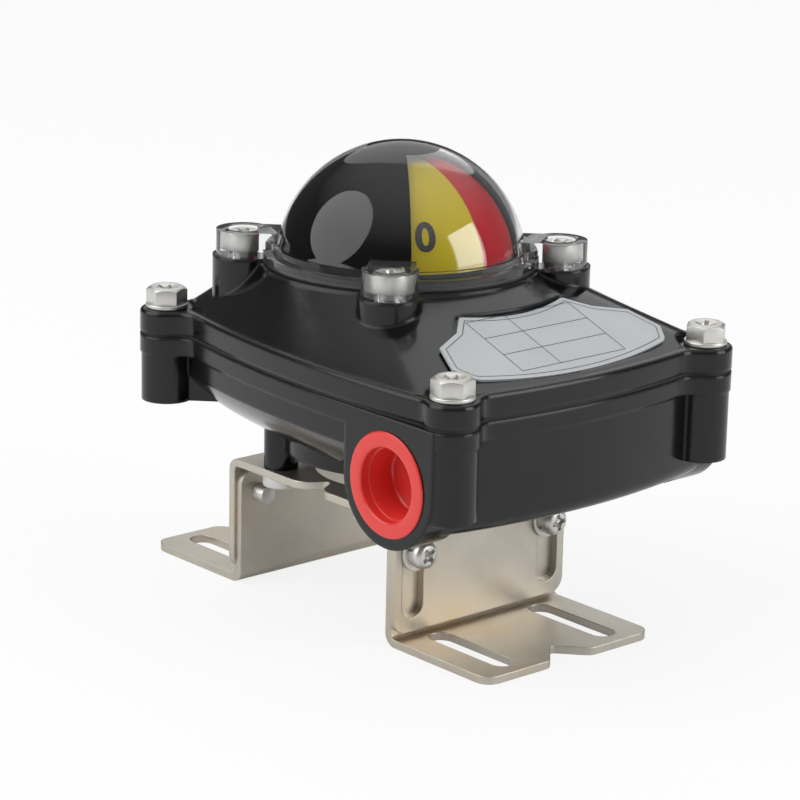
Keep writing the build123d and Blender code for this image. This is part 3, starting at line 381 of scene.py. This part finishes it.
def seen_share(tree, direct, mirrored):
    """Share of plain white that the camera sees straight, through glass or in a reflection."""
    rays = tree.nodes.new("ShaderNodeLightPath")
    turns = tree.nodes.new("ShaderNodeMath")
    tree.links.new(rays.outputs["Glossy Depth"], turns.inputs[0])
    tree.links.new(rays.outputs["Diffuse Depth"], turns.inputs[1])
    straight = tree.nodes.new("ShaderNodeMapRange")
    tree.links.new(turns.outputs[0], straight.inputs["Value"])
    straight.inputs["To Min"].default_value = direct
    straight.inputs["To Max"].default_value = 0.25 * direct
    parts = []
    for ray, share in (("Is Camera Ray", direct), ("Is Transmission Ray", direct), ("Is Glossy Ray", mirrored)):
        scaled = tree.nodes.new("ShaderNodeMath")
        scaled.operation = "MULTIPLY"
        scaled.inputs[1].default_value = share
        if ray == "Is Transmission Ray":
            tree.links.new(straight.outputs["Result"], scaled.inputs[1])
        tree.links.new(rays.outputs[ray], scaled.inputs[0])
        parts.append(scaled.outputs[0])
    top = parts[0]
    for part in parts[1:]:
        most = tree.nodes.new("ShaderNodeMath")
        most.operation = "MAXIMUM"
        tree.links.new(top, most.inputs[0])
        tree.links.new(part, most.inputs[1])
        top = most.outputs[0]
    return top


class SWITCHBOX_OT_stage(bpy.types.Operator):
    """Set up the camera, the soft lights and the pale floor"""

    bl_idname = "switchbox.stage"
    bl_label = "Stage"

    def execute(self, context):
        s = context.scene.switchbox_studio
        back = Vector((sin(s.azimuth) * cos(s.elevation), -cos(s.azimuth) * cos(s.elevation), sin(s.elevation)))
        right = Vector((cos(s.azimuth), sin(s.azimuth), 0))
        up = back.cross(right)
        right, up = cos(s.roll) * right + sin(s.roll) * up, cos(s.roll) * up - sin(s.roll) * right
        data = bpy.data.cameras.new("camera")
        data.lens = s.lens
        data.sensor_width = 36.0
        data.clip_start = 0.01
        camera = bpy.data.objects.new("camera", data)
        context.scene.collection.objects.link(camera)
        aim = Vector((0.649, 0.061, 45.608)) * MM  # near the middle of the box
        turn = Matrix((right, up, back)).transposed().to_4x4()
        camera.matrix_world = Matrix.Translation(aim + back * s.distance) @ turn
        context.scene.camera = camera
        bpy.ops.object.select_all(action="DESELECT")
        bpy.ops.mesh.primitive_plane_add(size=6, location=(0, 0, 0))
        floor = context.active_object
        floor.name = "floor"
        f = Finish("floor_paper")
        f.set(Roughness=0.9, Base_Color=(0.86, 0.86, 0.86, 1))
        grain = f.noise(300, 2, 0.5)
        f.bump(grain, 0.02, 0.0002)
        glow = f.add("ShaderNodeEmission")
        glow.inputs["Color"].default_value = (1, 1, 1, 1)
        mix = f.add("ShaderNodeMixShader")
        out = next(n for n in f.tree.nodes if n.type == "OUTPUT_MATERIAL")
        f.link(seen_share(f.tree, 0.85, 0.2), mix.inputs["Fac"])
        f.link(f.shader.outputs[0], mix.inputs[1])
        f.link(glow.outputs[0], mix.inputs[2])
        f.link(mix.outputs[0], out.inputs["Surface"])
        floor.data.materials.append(f.material)
        middle = (0, 0, 0.07)
        area_light("umbrella_light", (-0.33, -0.72, 0.60), middle, 1.08, 7.2, "DISK")
        area_light("window_light", (0.98, 0.52, 0.46), middle, 0.66, 7.0)
        area_light("rear_light", (-0.95, 0.95, 1.1), middle, 1.6, 5.0, "DISK")
        world = bpy.data.worlds.new("studio")
        context.scene.world = world
        world.use_nodes = True
        tree = world.node_tree
        ground = next(n for n in tree.nodes if n.type == "BACKGROUND")
        ground.inputs["Strength"].default_value = 1.0
        place = tree.nodes.new("ShaderNodeTexCoord")
        height = tree.nodes.new("ShaderNodeSeparateXYZ")
        sky = tree.nodes.new("ShaderNodeValToRGB")
        for element, (position, level) in zip((*sky.color_ramp.elements, sky.color_ramp.elements.new(0.6)), SKY):
            element.position = position
            element.color = (0.94 * level, 0.97 * level, level, 1)
        tree.links.new(place.outputs["Generated"], height.inputs[0])
        tree.links.new(height.outputs["Z"], sky.inputs["Fac"])
        tree.links.new(sky.outputs["Color"], ground.inputs["Color"])
        white = tree.nodes.new("ShaderNodeBackground")
        white.inputs["Color"].default_value = (1, 1, 1, 1)
        white.inputs["Strength"].default_value = 1.0
        choose = tree.nodes.new("ShaderNodeMixShader")
        end = next(n for n in tree.nodes if n.type == "OUTPUT_WORLD")
        tree.links.new(seen_share(tree, 1.0, 0.03), choose.inputs["Fac"])
        tree.links.new(ground.outputs[0], choose.inputs[1])
        tree.links.new(white.outputs[0], choose.inputs[2])
        tree.links.new(choose.outputs[0], end.inputs["Surface"])
        context.scene.view_settings.view_transform = "Standard"
        return {"FINISHED"}


# ---------------------------------------------------------------- shaping helpers
def pick(piece):
    """Make a piece the only selected one."""
    bpy.ops.object.select_all(action="DESELECT")
    piece.select_set(True)
    bpy.context.view_layer.objects.active = piece


def settle(piece):
    """Put a piece's place, turn and size into its mesh."""
    pick(piece)
    bpy.ops.object.transform_apply(location=True, rotation=True, scale=True)
    return piece


def turned(name, profile, steps=96):
    """Body of revolution about Z from a chain of (radius, height) points in millimetres."""
    bpy.ops.object.select_all(action="DESELECT")
    bpy.ops.mesh.primitive_plane_add(size=MM, location=(0, 0, 0))
    piece = bpy.context.active_object
    piece.name = name
    bpy.ops.object.mode_set(mode="EDIT")
    bpy.ops.mesh.select_all(action="SELECT")
    bpy.ops.mesh.merge(type="CENTER")
    bpy.ops.transform.translate(value=(profile[0][0] * MM, 0, profile[0][1] * MM))
    for (r0, z0), (r1, z1) in zip(profile, profile[1:]):
        bpy.ops.mesh.extrude_vertices_move(TRANSFORM_OT_translate={"value": ((r1 - r0) * MM, 0, (z1 - z0) * MM)})
    bpy.ops.mesh.select_all(action="SELECT")
    bpy.ops.mesh.spin(steps=steps, angle=2 * pi, center=(0, 0, 0), axis=(0, 0, 1))
    bpy.ops.mesh.select_all(action="SELECT")
    bpy.ops.mesh.remove_doubles(threshold=0.000001)
    bpy.ops.mesh.normals_make_consistent(inside=False)
    bpy.ops.object.mode_set(mode="OBJECT")
    return piece


def ring(bore, radius, low, high):
    """Closed profile of a washer."""
    return [(bore, low), (radius, low), (radius, high), (bore, high), (bore, low)]


def arc(radius, height, start, end, count, centre=0.0):
    """Points of a profile's arc, angles in degrees above the horizontal."""
    turns = [radians(start + (end - start) * i / count) for i in range(count + 1)]
    return [(centre + radius * cos(a), height + radius * sin(a)) for a in turns]


def at(x=0.0, y=0.0, z=0.0):
    """Matrix that moves a piece to a place in millimetres."""
    return Matrix.Translation((x * MM, y * MM, z * MM))


def about(axis, angle):
    """Matrix that turns a piece about an axis, in degrees."""
    return Matrix.Rotation(radians(angle), 4, axis)


def box_mm(node):
    """Lowest and highest corner of a node, in millimetres."""
    return (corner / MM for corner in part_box(node))


def heights(node):
    """Lowest and highest point of a node, in millimetres."""
    return [corner.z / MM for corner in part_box(node)]


def rod(radius, low, high, place=(0, 0), sides=48, top=None):
    """Upright rod or, with a top radius, a cone, in millimetres."""
    bpy.ops.object.select_all(action="DESELECT")
    bpy.ops.mesh.primitive_cone_add(
        vertices=sides,
        radius1=radius * MM,
        radius2=(radius if top is None else top) * MM,
        depth=(high - low) * MM,
        location=(place[0] * MM, place[1] * MM, (low + high) / 2 * MM),
    )
    return settle(bpy.context.active_object)


def bar(size, place, turn):
    """Rectangular cutter, in millimetres and degrees."""
    bpy.ops.object.select_all(action="DESELECT")
    bpy.ops.mesh.primitive_cube_add(size=1, location=[v * MM for v in place], rotation=(0, 0, radians(turn)))
    cutter = bpy.context.active_object
    cutter.scale = [v * MM for v in size]
    return settle(cutter)


def carve(piece, tool, operation="DIFFERENCE"):
    """Cut, join or meet a piece with a tool, which is then thrown away."""
    pick(piece)
    step = piece.modifiers.new("carve", "BOOLEAN")
    step.operation = operation
    step.solver = "EXACT"
    step.object = tool
    bpy.ops.object.modifier_apply(modifier=step.name)
    bpy.data.objects.remove(tool, do_unlink=True)


def soften(piece, width, segments=2, above=35.0):
    """Round the sharp edges of a piece and smooth the rest."""
    pick(piece)
    step = piece.modifiers.new("soften", "BEVEL")
    step.width = width * MM
    step.segments = segments
    step.limit_method = "ANGLE"
    step.angle_limit = radians(above)
    step.miter_outer = "MITER_ARC"
    bpy.ops.object.modifier_apply(modifier=step.name)
    bpy.ops.object.shade_smooth_by_angle(angle=radians(32))
    return piece


def copies(piece, name, matrices):
    """One object that holds a copy of a piece at each place."""
    parts = []
    for matrix in matrices:
        part = piece.copy()
        part.data = piece.data.copy()
        part.data.transform(matrix)
        bpy.context.scene.collection.objects.link(part)
        parts.append(part)
    bpy.data.objects.remove(piece, do_unlink=True)
    bpy.ops.object.select_all(action="DESELECT")
    for part in parts:
        part.select_set(True)
    bpy.context.view_layer.objects.active = parts[0]
    if len(parts) > 1:
        bpy.ops.object.join()
    parts[0].name = name
    return parts[0]


def dress(piece, material, body, slot, *nodes):
    """Give a new piece its finish, hang it on the body it rides on and hide the nodes it stands for."""
    piece.data.materials.clear()
    piece.data.materials.append(material)
    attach(piece, body)
    if nodes:
        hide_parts(*nodes)
    return piece


def pattern(node, reach):
    """Centres of a two by two pattern, from its node's box and a piece's own reach, in millimetres."""
    low, high = box_mm(node)
    return [(x, y) for x in (low.x + reach, high.x - reach) for y in (low.y + reach, high.y - reach)]


def cross_recess(piece, top, width, reach, depth, core):
    """Cut a cross recess with a tapered core into a screw head."""
    for turn in (0, 90):
        carve(piece, bar((2 * reach, width, 2 * depth), (0, 0, top), turn))
    carve(piece, rod(0.2 * core, top - 1.5 * depth, top + 0.2, sides=24, top=core))


# ---------------------------------------------------------------- fasteners
def finish_of(name, make):
    """The material that already has a name, or a new one where there is none."""
    return bpy.data.materials.get(name) or make(name)


def steel(context):
    """Plated steel of all fasteners."""
    colour = tuple(context.scene.switchbox_finish.fastener)
    return finish_of("fastener_steel", lambda name: brushed_metal(name, colour, 0.16, (3, 3, 3), 0.08, 0.0002, 0.03))


class SWITCHBOX_OT_cover_bolts(bpy.types.Operator):
    """Hexagon bolts with a turned crown and a cross recess, at the four corners of the cover"""

    bl_idname = "switchbox.cover_bolts"
    bl_label = "Cover bolts"

    def execute(self, context):
        s = context.scene.switchbox_fasteners
        low, high = heights("cover_bolts")
        washer_low, seat = heights("cover_bolt_washers")
        washer_bore, washer_radius = 2.8, 4.7
        half = s.hex_flats / 2
        bolt = rod(half / cos(pi / 6), seat, high, sides=6)
        bolt.name = "cover_bolt"
        crown = rod(s.hex_crown + (high - seat) * 1.5, seat - 0.1, high, sides=64, top=s.hex_crown)
        carve(bolt, crown, "INTERSECT")
        bowl = rod(1.2, high - 0.55, high + 0.15, sides=48, top=s.hex_crown - 0.55)
        carve(bolt, bowl)
        cross_recess(bolt, high - 0.3, s.recess, 2.1, 1.2, 1.5)
        carve(bolt, rod(2.5, low, seat + 0.3), "UNION")
        soften(bolt, 0.18, 2, 24)
        spots = pattern("cover_bolt_washers", washer_radius)
        places = [at(x, y) @ about("Z", turn) for (x, y), turn in zip(spots, (21, 4, 16, 38))]
        dress(copies(bolt, "cover_hex_bolts", places), steel(context), "box", "fastener_steel", "cover_bolts")
        washer = soften(turned("cover_washer", ring(washer_bore, washer_radius, washer_low, seat)), 0.25, 3)
        flat = [at(x, y) for x, y in spots]
        dress(copies(washer, "cover_washers", flat), steel(context), "box", "fastener_steel", "cover_bolt_washers")
        return {"FINISHED"}


class SWITCHBOX_OT_lens_screws(bpy.types.Operator):
    """Drum-headed screws that hold the dome's lugs"""

    bl_idname = "switchbox.lens_screws"
    bl_label = "Lens screws"

    def execute(self, context):
        s = context.scene.switchbox_fasteners
        low, high = heights("lens_screws")
        shank, head, head_height = 2.0, 3.5, 4.2
        seat = high - head_height
        profile = [(0, low), (shank, low), (shank, seat), (head, seat), (head, high - 0.45)]
        profile += [(head - 0.4, high - 0.05), (0, high)]
        screw = turned("lens_screw", profile)
        cross_recess(screw, high, s.recess, 2.1, 1.3, 1.4)
        soften(screw, 0.15, 2, 30)
        spots = pattern("lens_screws", head)
        places = [at(x, y) @ about("Z", turn) for (x, y), turn in zip(spots, (12, 61, 33, 80))]
        dress(copies(screw, "lens_drum_screws", places), steel(context), "box", "fastener_steel", "lens_screws")
        return {"FINISHED"}


class SWITCHBOX_OT_height_screws(bpy.types.Operator):
    """Pan-head screws, split spring washers and flat washers that clamp the feet"""

    bl_idname = "switchbox.height_screws"
    bl_label = "Height screws"

    def execute(self, context):
        s = context.scene.switchbox_fasteners
        shank, head, washer_bore, washer_radius, coil_radius = 2.0, 3.2, 2.05, 4.2, 3.1
        metal = steel(context)
        for side, away in (("right", 0), ("left", 180)):
            body = f"foot_{side}"
            low, high = box_mm(f"bracket_flat_washers_{side}")
            middle = (low.z + high.z) / 2
            places = [
                at(0, y, middle) @ about("Z", away) @ about("Y", 90)
                for y in (low.y + washer_radius, high.y - washer_radius)
            ]
            (tip, top), (coil_low, coil_high), (flat_low, flat_high) = (
                sorted(abs(corner.x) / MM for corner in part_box(f"bracket_{part}_{side}"))
                for part in ("screws", "spring_washers", "flat_washers")
            )
            profile = [(0, tip), (shank, tip), (shank, coil_high), (head, coil_high), (head, coil_high + 0.75)]
            profile += arc(1.55, top - 1.55, 12, 78, 8, 1.62) + [(0, top)]
            screw = turned("height_screw", profile, 64)
            cross_recess(screw, top, s.recess, 1.9, 1.2, 1.3)
            soften(screw, 0.1, 2, 30)
            coil = turned("split_washer", ring(washer_bore, coil_radius, coil_low, coil_high), 64)
            carve(coil, bar((s.slit, 4, 4), (0, 2.6, (coil_low + coil_high) / 2), 24))
            soften(coil, 0.12, 2)
            flat = turned("flat_washer", ring(washer_bore, washer_radius, flat_low, flat_high), 72)
            soften(flat, 0.18, 2)
            for piece, name, node, turns in (
                (screw, "height_screws", "bracket_screws", (38, 8)),
                (coil, "split_washers", "bracket_spring_washers", (150, 205)),
                (flat, "flat_washers", "bracket_flat_washers", (0, 0)),
            ):
                spots = [place @ about("Z", turn) for place, turn in zip(places, turns)]
                dress(copies(piece, f"{name}_{side}", spots), metal, body, "fastener_steel", f"{node}_{side}")
        return {"FINISHED"}


# ---------------------------------------------------------------- dome, plugs and prints
class SWITCHBOX_OT_dome(bpy.types.Operator):
    """Clear dome with its stepped flange and four screw lugs"""

    bl_idname = "switchbox.dome"
    bl_label = "Dome"

    def execute(self, context):
        s = context.scene.switchbox_indicator
        low, high = box_mm("indicator_lens")
        base, top = low.z, high.z
        centre = top - s.dome
        inner = s.dome - s.dome_wall
        shelf, step, lug_top = base + 2.0, base + 3.6, base + 5.7
        step_radius = 28.8
        rise = degrees(atan2(step - centre, s.dome))
        inner_rise = degrees(atan2(base - centre, inner))
        profile = [(0, base), (s.flange, base), (s.flange, shelf), (step_radius, shelf), (step_radius, step)]
        profile += arc(s.dome, centre, rise, 90, 44)[:-1] + [(0, top)]
        shell = turned("dome_shell", profile, 144)
        reach = 24.8 * 2**0.5
        spots = [(reach * cos(radians(turn)), reach * sin(radians(turn))) for turn in QUARTERS]
        for turn, spot in zip(QUARTERS, spots):
            carve(shell, rod(s.lug, base, lug_top, spot, 64), "UNION")
            size = (14, 2 * s.lug - 2.4, lug_top - base)
            carve(shell, bar(size, (0.8 * spot[0], 0.8 * spot[1], (base + lug_top) / 2), turn), "UNION")
        profile = [(0, base - 1), (inner, base - 1)] + arc(inner, centre, inner_rise, 90, 44)[:-1]
        carve(shell, turned("hollow", profile + [(0, centre + inner)], 144))
        screw_head, screw_shank, head_depth = 3.49, 2.3, 4.5
        for spot in spots:
            carve(shell, rod(screw_head, lug_top - head_depth, lug_top + 1, spot, 64))
            carve(shell, rod(screw_shank, base - 1, lug_top, spot, 48))
        soften(shell, 0.3, 3, 30)
        shell.name = "dome_lens"
        clear = clear_acrylic("clear_acrylic", (0.985, 0.992, 0.99))
        dress(shell, clear, "box", "clear_lens", "indicator_lens")
        shell.data.materials.append(clear_acrylic("lug_acrylic", (0.97, 0.98, 0.98), 0.97))
        for face in shell.data.polygons:
            face.material_index = int(hypot(face.center.x, face.center.y) / MM > s.dome + 0.2)
        return {"FINISHED"}


class SWITCHBOX_OT_mask(bpy.types.Operator):
    """Black mask inside the dome, with two windows"""

    bl_idname = "switchbox.mask"
    bl_label = "Mask"

    def execute(self, context):
        s = context.scene.switchbox_indicator
        low = heights("indicator_mask")[0]
        window_low = heights("indicator_rotor")[0]
        centre = heights("indicator_lens")[1] - s.dome
        overlap, wall, cutter = 0.04, 1.2, 40
        radius = s.dome - s.dome_wall + overlap
        inner = radius - wall
        foot, inner_foot = (degrees(atan2(low - centre, r)) for r in (radius, inner))
        outside = arc(radius, centre, foot, 90, 44)[:-1] + [(0, centre + radius)]
        inside = [(0, centre + inner)] + arc(inner, centre, 90, inner_foot, 44)[1:]
        mask = turned("mask_shell", [(0, low)] + outside, 144)
        carve(mask, turned("mask_hollow", [(0, low - 1), (inside[-1][0], low - 1)] + inside[::-1], 144))
        window_high = centre + radius * sin(radians(s.cap))
        reach = cutter / 2**0.5
        for turn in (s.window, s.window + 180):
            corner = radians(turn + 45)
            spot = (reach * cos(corner), reach * sin(corner), (window_low + window_high) / 2)
            carve(mask, bar((cutter, cutter, window_high - window_low), spot, turn))
        soften(mask, 0.12, 2, 40)
        mask.name = "dome_mask"
        black = moulded_plastic("mask_black", (0.003, 0.003, 0.0033), 0.6, 0.03, shine=0.05)
        dress(mask, black, "box", "mask_black", "indicator_mask")
        return {"FINISHED"}


class SWITCHBOX_OT_plugs(bpy.types.Operator):
    """Moulded plugs in the two cable entries"""

    bl_idname = "switchbox.plugs"
    bl_label = "Plugs"

    def execute(self, context):
        colour = tuple(context.scene.switchbox_finish.plug)
        red = finish_of("plug_red", lambda name: moulded_plastic(name, colour, 0.4, 0.06, 0.86, 0.25))
        low, high = box_mm("cable_plug_front")
        middle = ((low.x + high.x) / 2, (low.z + high.z) / 2)
        deep, face = -high.y, -low.y
        body, flange, mouth, bore = 10.48, 11.35, 7.9, 7.5
        rim, shoulder, floor = face - 0.5, face - 2.2, face - 8.5
        profile = [(0, deep), (body - 0.38, deep), (body, deep + 0.4), (body, rim), (flange, rim)]
        profile += [(flange, face - 0.22), (flange - 0.22, face), (mouth + 0.3, face), (mouth, face - 0.3)]
        profile += [(mouth, shoulder), (bore, shoulder), (bore, floor + 0.4), (bore - 0.4, floor), (0, floor)]
        plug = soften(turned("plug", profile, 96), 0.14, 2, 30)
        for name, turn in (("front", 90), ("rear", -90)):
            place = at(middle[0], 0, middle[1]) @ about("X", turn)
            part = plug.copy()
            part.data = plug.data.copy()
            context.scene.collection.objects.link(part)
            dress(copies(part, f"entry_plug_{name}", [place]), red, "box", "plug_red", f"cable_plug_{name}")
        bpy.data.objects.remove(plug, do_unlink=True)
        return {"FINISHED"}


class SWITCHBOX_OT_label_print(bpy.types.Operator):
    """Printed border and empty table on the label"""

    bl_idname = "switchbox.label_print"
    bl_label = "Label print"

    def execute(self, context):
        s = context.scene.switchbox_label
        ink_height = 0.02
        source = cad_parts["label_plate"]
        border = source.copy()
        border.data = source.data.copy()
        context.scene.collection.objects.link(border)
        border.hide_render = border.hide_viewport = False
        pick(border)
        bpy.ops.object.mode_set(mode="EDIT")
        bpy.ops.mesh.select_all(action="SELECT")
        bpy.ops.mesh.remove_doubles(threshold=0.000001)
        bpy.ops.mesh.dissolve_limited(angle_limit=radians(1))
        mesh = bmesh.from_edit_mesh(border.data)
        mesh.normal_update()
        top = max((f for f in mesh.faces if f.normal.z > 0.5), key=lambda f: f.calc_area())
        lift = top.normal.copy()
        flat = top.calc_center_median()
        bmesh.ops.delete(mesh, geom=[f for f in mesh.faces if f is not top], context="FACES")
        top.select_set(True)
        bmesh.update_edit_mesh(border.data)
        bpy.ops.mesh.inset(thickness=s.margin * MM)
        bpy.ops.mesh.inset(thickness=s.line * MM)
        mesh = bmesh.from_edit_mesh(border.data)
        inner = next(f for f in mesh.faces if f.select)
        line_faces = {f for e in inner.edges for f in e.link_faces} - {inner}
        bmesh.ops.delete(mesh, geom=[f for f in mesh.faces if f not in line_faces], context="FACES")
        bmesh.update_edit_mesh(border.data)
        bpy.ops.mesh.select_all(action="SELECT")
        bpy.ops.transform.translate(value=lift * ink_height * MM)
        bpy.ops.object.mode_set(mode="OBJECT")
        along = Vector((lift.z, 0, -lift.x))
        across = Vector((0, 1, 0))
        lines = [border]
        depth, width, split = 19.0, 30.0, -4.0
        rows = [("row", depth * i / s.rows - depth / 2, width) for i in range(s.rows + 1)]
        columns = [("column", place, depth) for place in (-width / 2, split, width / 2)]
        for kind, place, length in rows + columns:
            bpy.ops.object.select_all(action="DESELECT")
            bpy.ops.mesh.primitive_plane_add(size=1, location=(0, 0, 0))
            strip = context.active_object
            bpy.ops.object.mode_set(mode="EDIT")
            bpy.ops.mesh.subdivide(number_cuts=2)
            bpy.ops.object.mode_set(mode="OBJECT")
            wide, long = s.line * MM, (length + s.line) * MM
            size, aside = ((wide, long), along) if kind == "row" else ((long, wide), across)
            spot = flat + lift * ink_height * MM + aside * place * MM
            turn = Matrix((along, across, lift)).transposed().to_4x4()
            strip.data.transform(Matrix.Translation(spot) @ turn @ Matrix.Diagonal((*size, 1, 1)))
            lines.append(strip)
        bpy.ops.object.select_all(action="DESELECT")
        for line in lines:
            line.select_set(True)
        context.view_layer.objects.active = border
        bpy.ops.object.join()
        border.name = "label_lines"
        dress(border, printed_ink("label_ink", (0.045, 0.055, 0.065)), "box", "label_sheet")
        return {"FINISHED"}


class SWITCHBOX_OT_numerals(bpy.types.Operator):
    """Numerals wrapped round the indicator's coloured panels"""

    bl_idname = "switchbox.numerals"
    bl_label = "Numerals"

    def execute(self, context):
        s = context.scene.switchbox_indicator
        ink = printed_ink("numeral_ink", (0.008, 0.008, 0.008))
        low, high = box_mm("indicator_yellow_panels")
        centre = heights("indicator_lens")[1] - s.dome
        radius = hypot(high.x, low.z - centre)
        foot = radians(s.numeral_rise)
        girth = radius * cos(foot + 0.5 * s.numeral / radius)
        type_size, ink_height = 1.4 * s.numeral, 0.05
        for name, words, middle in (("open", "9 0", -37.0), ("closed", "0", 49.3)):
            parts = []
            for half in (0, 180):
                bpy.ops.object.select_all(action="DESELECT")
                bpy.ops.object.text_add(location=(0, 0, 0))
                text = context.active_object
                text.data.body = words
                text.data.align_x = "CENTER"
                text.data.size = type_size
                text.data.extrude = 0.04
                text.data.offset = 0.3
                bpy.ops.object.convert(target="MESH")
                piece = context.active_object
                bpy.ops.object.mode_set(mode="EDIT")
                bpy.ops.mesh.select_all(action="SELECT")
                bpy.ops.mesh.remove_doubles(threshold=0.0001)
                bpy.ops.mesh.quads_convert_to_tris()
                bpy.ops.mesh.subdivide(number_cuts=3)
                bpy.ops.object.mode_set(mode="OBJECT")
                for vertex in piece.data.vertices:
                    x, y, z = vertex.co
                    rise = foot + y / radius
                    turn = radians(middle + half) + x / girth
                    out = (radius + ink_height + z) * MM
                    flat = out * cos(rise)
                    vertex.co = (flat * cos(turn), flat * sin(turn), centre * MM + out * sin(rise))
                parts.append(piece)
            bpy.ops.object.select_all(action="DESELECT")
            for part in parts:
                part.select_set(True)
            context.view_layer.objects.active = parts[0]
            bpy.ops.object.join()
            bpy.ops.object.mode_set(mode="EDIT")
            bpy.ops.mesh.select_all(action="SELECT")
            bpy.ops.mesh.normals_make_consistent(inside=False)
            bpy.ops.object.mode_set(mode="OBJECT")
            parts[0].name = f"numerals_{name}"
            dress(parts[0], ink, "shaft_and_indicator", "panel_yellow" if name == "open" else "panel_red")
        return {"FINISHED"}


# ---------------------------------------------------------------- finishes of the frame's pieces
class SWITCHBOX_OT_finishes(bpy.types.Operator):
    """Give each piece of the frame its own finish"""

    bl_idname = "switchbox.finishes"
    bl_label = "Finishes"

    def execute(self, context):
        s = context.scene.switchbox_finish
        made = {
            "enamel": cast_enamel("cast_enamel", tuple(s.enamel), s.enamel_gloss),
            "rubber": moulded_rubber("black_rubber", (0.012, 0.012, 0.012)),
            "label": coated_sheet("label_sheet", tuple(s.label)),
            # the bracket's stronger warm patches are a painted warm reflection besides faint stains
            "bracket": brushed_metal("bracket_steel", tuple(s.bracket), 0.4, (2, 9, 9), 0.2, 0.0004),
            "fastener": steel(context),
            "lens": bpy.data.materials["clear_acrylic"],
            "mask": bpy.data.materials["mask_black"],
            "yellow": moulded_plastic("panel_yellow", tuple(s.open_colour), 0.5, 0.05, 0.9, 0.1),
            "red": moulded_plastic("panel_red", tuple(s.closed_colour), 0.5, 0.05, 0.85, 0.1),
            "rotor": moulded_plastic("rotor_black", (0.03, 0.03, 0.03), 0.5),
            "plug": bpy.data.materials["plug_red"],
            "shaft": turned_metal("shaft_steel", (0.66, 0.66, 0.65), 0.25),
            "bush": turned_metal("bush_bronze", (0.62, 0.42, 0.18), 0.35),
            "cam_red": moulded_plastic("cam_red", (0.5, 0.03, 0.025), 0.5),
            "cam_yellow": moulded_plastic("cam_yellow", (0.62, 0.5, 0.03), 0.5),
            "spring": turned_metal("spring_steel", (0.5, 0.5, 0.5), 0.3),
            "frame": brushed_metal("frame_aluminium", (0.72, 0.72, 0.73), 0.38, (14, 1, 14), 0.02),
            "switch": moulded_plastic("switch_black", (0.02, 0.02, 0.02), 0.45),
            "button": moulded_plastic("button_red", (0.55, 0.05, 0.04), 0.4),
            "terminal": moulded_plastic("terminal_grey", (0.33, 0.36, 0.35), 0.5),
            "brass": brushed_metal("terminal_brass", (0.7, 0.52, 0.25), 0.3, (4, 4, 4), 0.1),
        }
        wears = {
            "lower_housing": "enamel", "cover": "enamel", "cover_gasket": "rubber", "lens_gasket": "rubber",
            "label_plate": "label", "cover_bolt_washers": "fastener", "cover_bolts": "fastener",
            "indicator_lens": "lens", "lens_screws": "fastener", "indicator_mask": "mask",
            "indicator_yellow_panels": "yellow", "indicator_red_panels": "red", "indicator_rotor": "rotor",
            "indicator_screw": "fastener", "shaft": "shaft", "shaft_o_ring": "rubber", "shaft_bush": "bush",
            "shaft_circlip": "spring", "cam_lower": "cam_red", "cam_upper": "cam_yellow", "cam_spring": "spring",
            "switch_frame": "frame", "frame_screws": "fastener", "microswitch_lower": "switch",
            "microswitch_upper": "switch", "switch_plunger_lower": "button", "switch_plunger_upper": "button",
            "switch_lever_lower": "spring", "switch_lever_upper": "spring", "switch_screws": "fastener",
            "switch_spacer": "switch", "terminal_block": "terminal", "terminal_screws": "brass",
            "earth_screw": "brass", "cable_plug_front": "plug", "cable_plug_rear": "plug",
            "bracket_top": "bracket", "bracket_top_screws": "fastener",
            "bracket_foot_left": "bracket", "bracket_foot_right": "bracket",
        }
        for node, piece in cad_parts.items():
            finish = made[wears.get(node, "fastener")]
            for slot in piece.material_slots:
                slot.material = finish
        return {"FINISHED"}


# ---------------------------------------------------------------- panel and registration
class SWITCHBOX_PT_panel(bpy.types.Panel):
    """Lists the steps that dress the box"""

    bl_idname = "SWITCHBOX_PT_panel"
    bl_label = "Limit switch box"
    bl_space_type = "VIEW_3D"
    bl_region_type = "UI"
    bl_category = "Switch box"

    def draw(self, context):
        scene = context.scene
        for group in (getattr(scene, name) for name in GROUPS):
            for key in group.__annotations__:
                self.layout.prop(group, key)
        for step in STEPS:
            self.layout.operator(step.bl_idname)


GROUPS = {
    "switchbox_finish": FinishSettings,
    "switchbox_fasteners": FastenerSettings,
    "switchbox_indicator": IndicatorSettings,
    "switchbox_label": LabelSettings,
    "switchbox_studio": StudioSettings,
}
STEPS = (
    SWITCHBOX_OT_stage,
    SWITCHBOX_OT_cover_bolts,
    SWITCHBOX_OT_lens_screws,
    SWITCHBOX_OT_height_screws,
    SWITCHBOX_OT_dome,
    SWITCHBOX_OT_mask,
    SWITCHBOX_OT_plugs,
    SWITCHBOX_OT_label_print,
    SWITCHBOX_OT_numerals,
    SWITCHBOX_OT_finishes,
)


def register():
    for cls in (*GROUPS.values(), *STEPS, SWITCHBOX_PT_panel):
        bpy.utils.register_class(cls)
    for name, group in GROUPS.items():
        setattr(bpy.types.Scene, name, bpy.props.PointerProperty(type=group))


def unregister():
    for name in GROUPS:
        delattr(bpy.types.Scene, name)
    for cls in reversed((*GROUPS.values(), *STEPS, SWITCHBOX_PT_panel)):
        bpy.utils.unregister_class(cls)


def main():
    register()
    for step in STEPS:
        group, name = step.bl_idname.split(".")
        getattr(getattr(bpy.ops, group), name)()


if __name__ == "__main__":
    main()
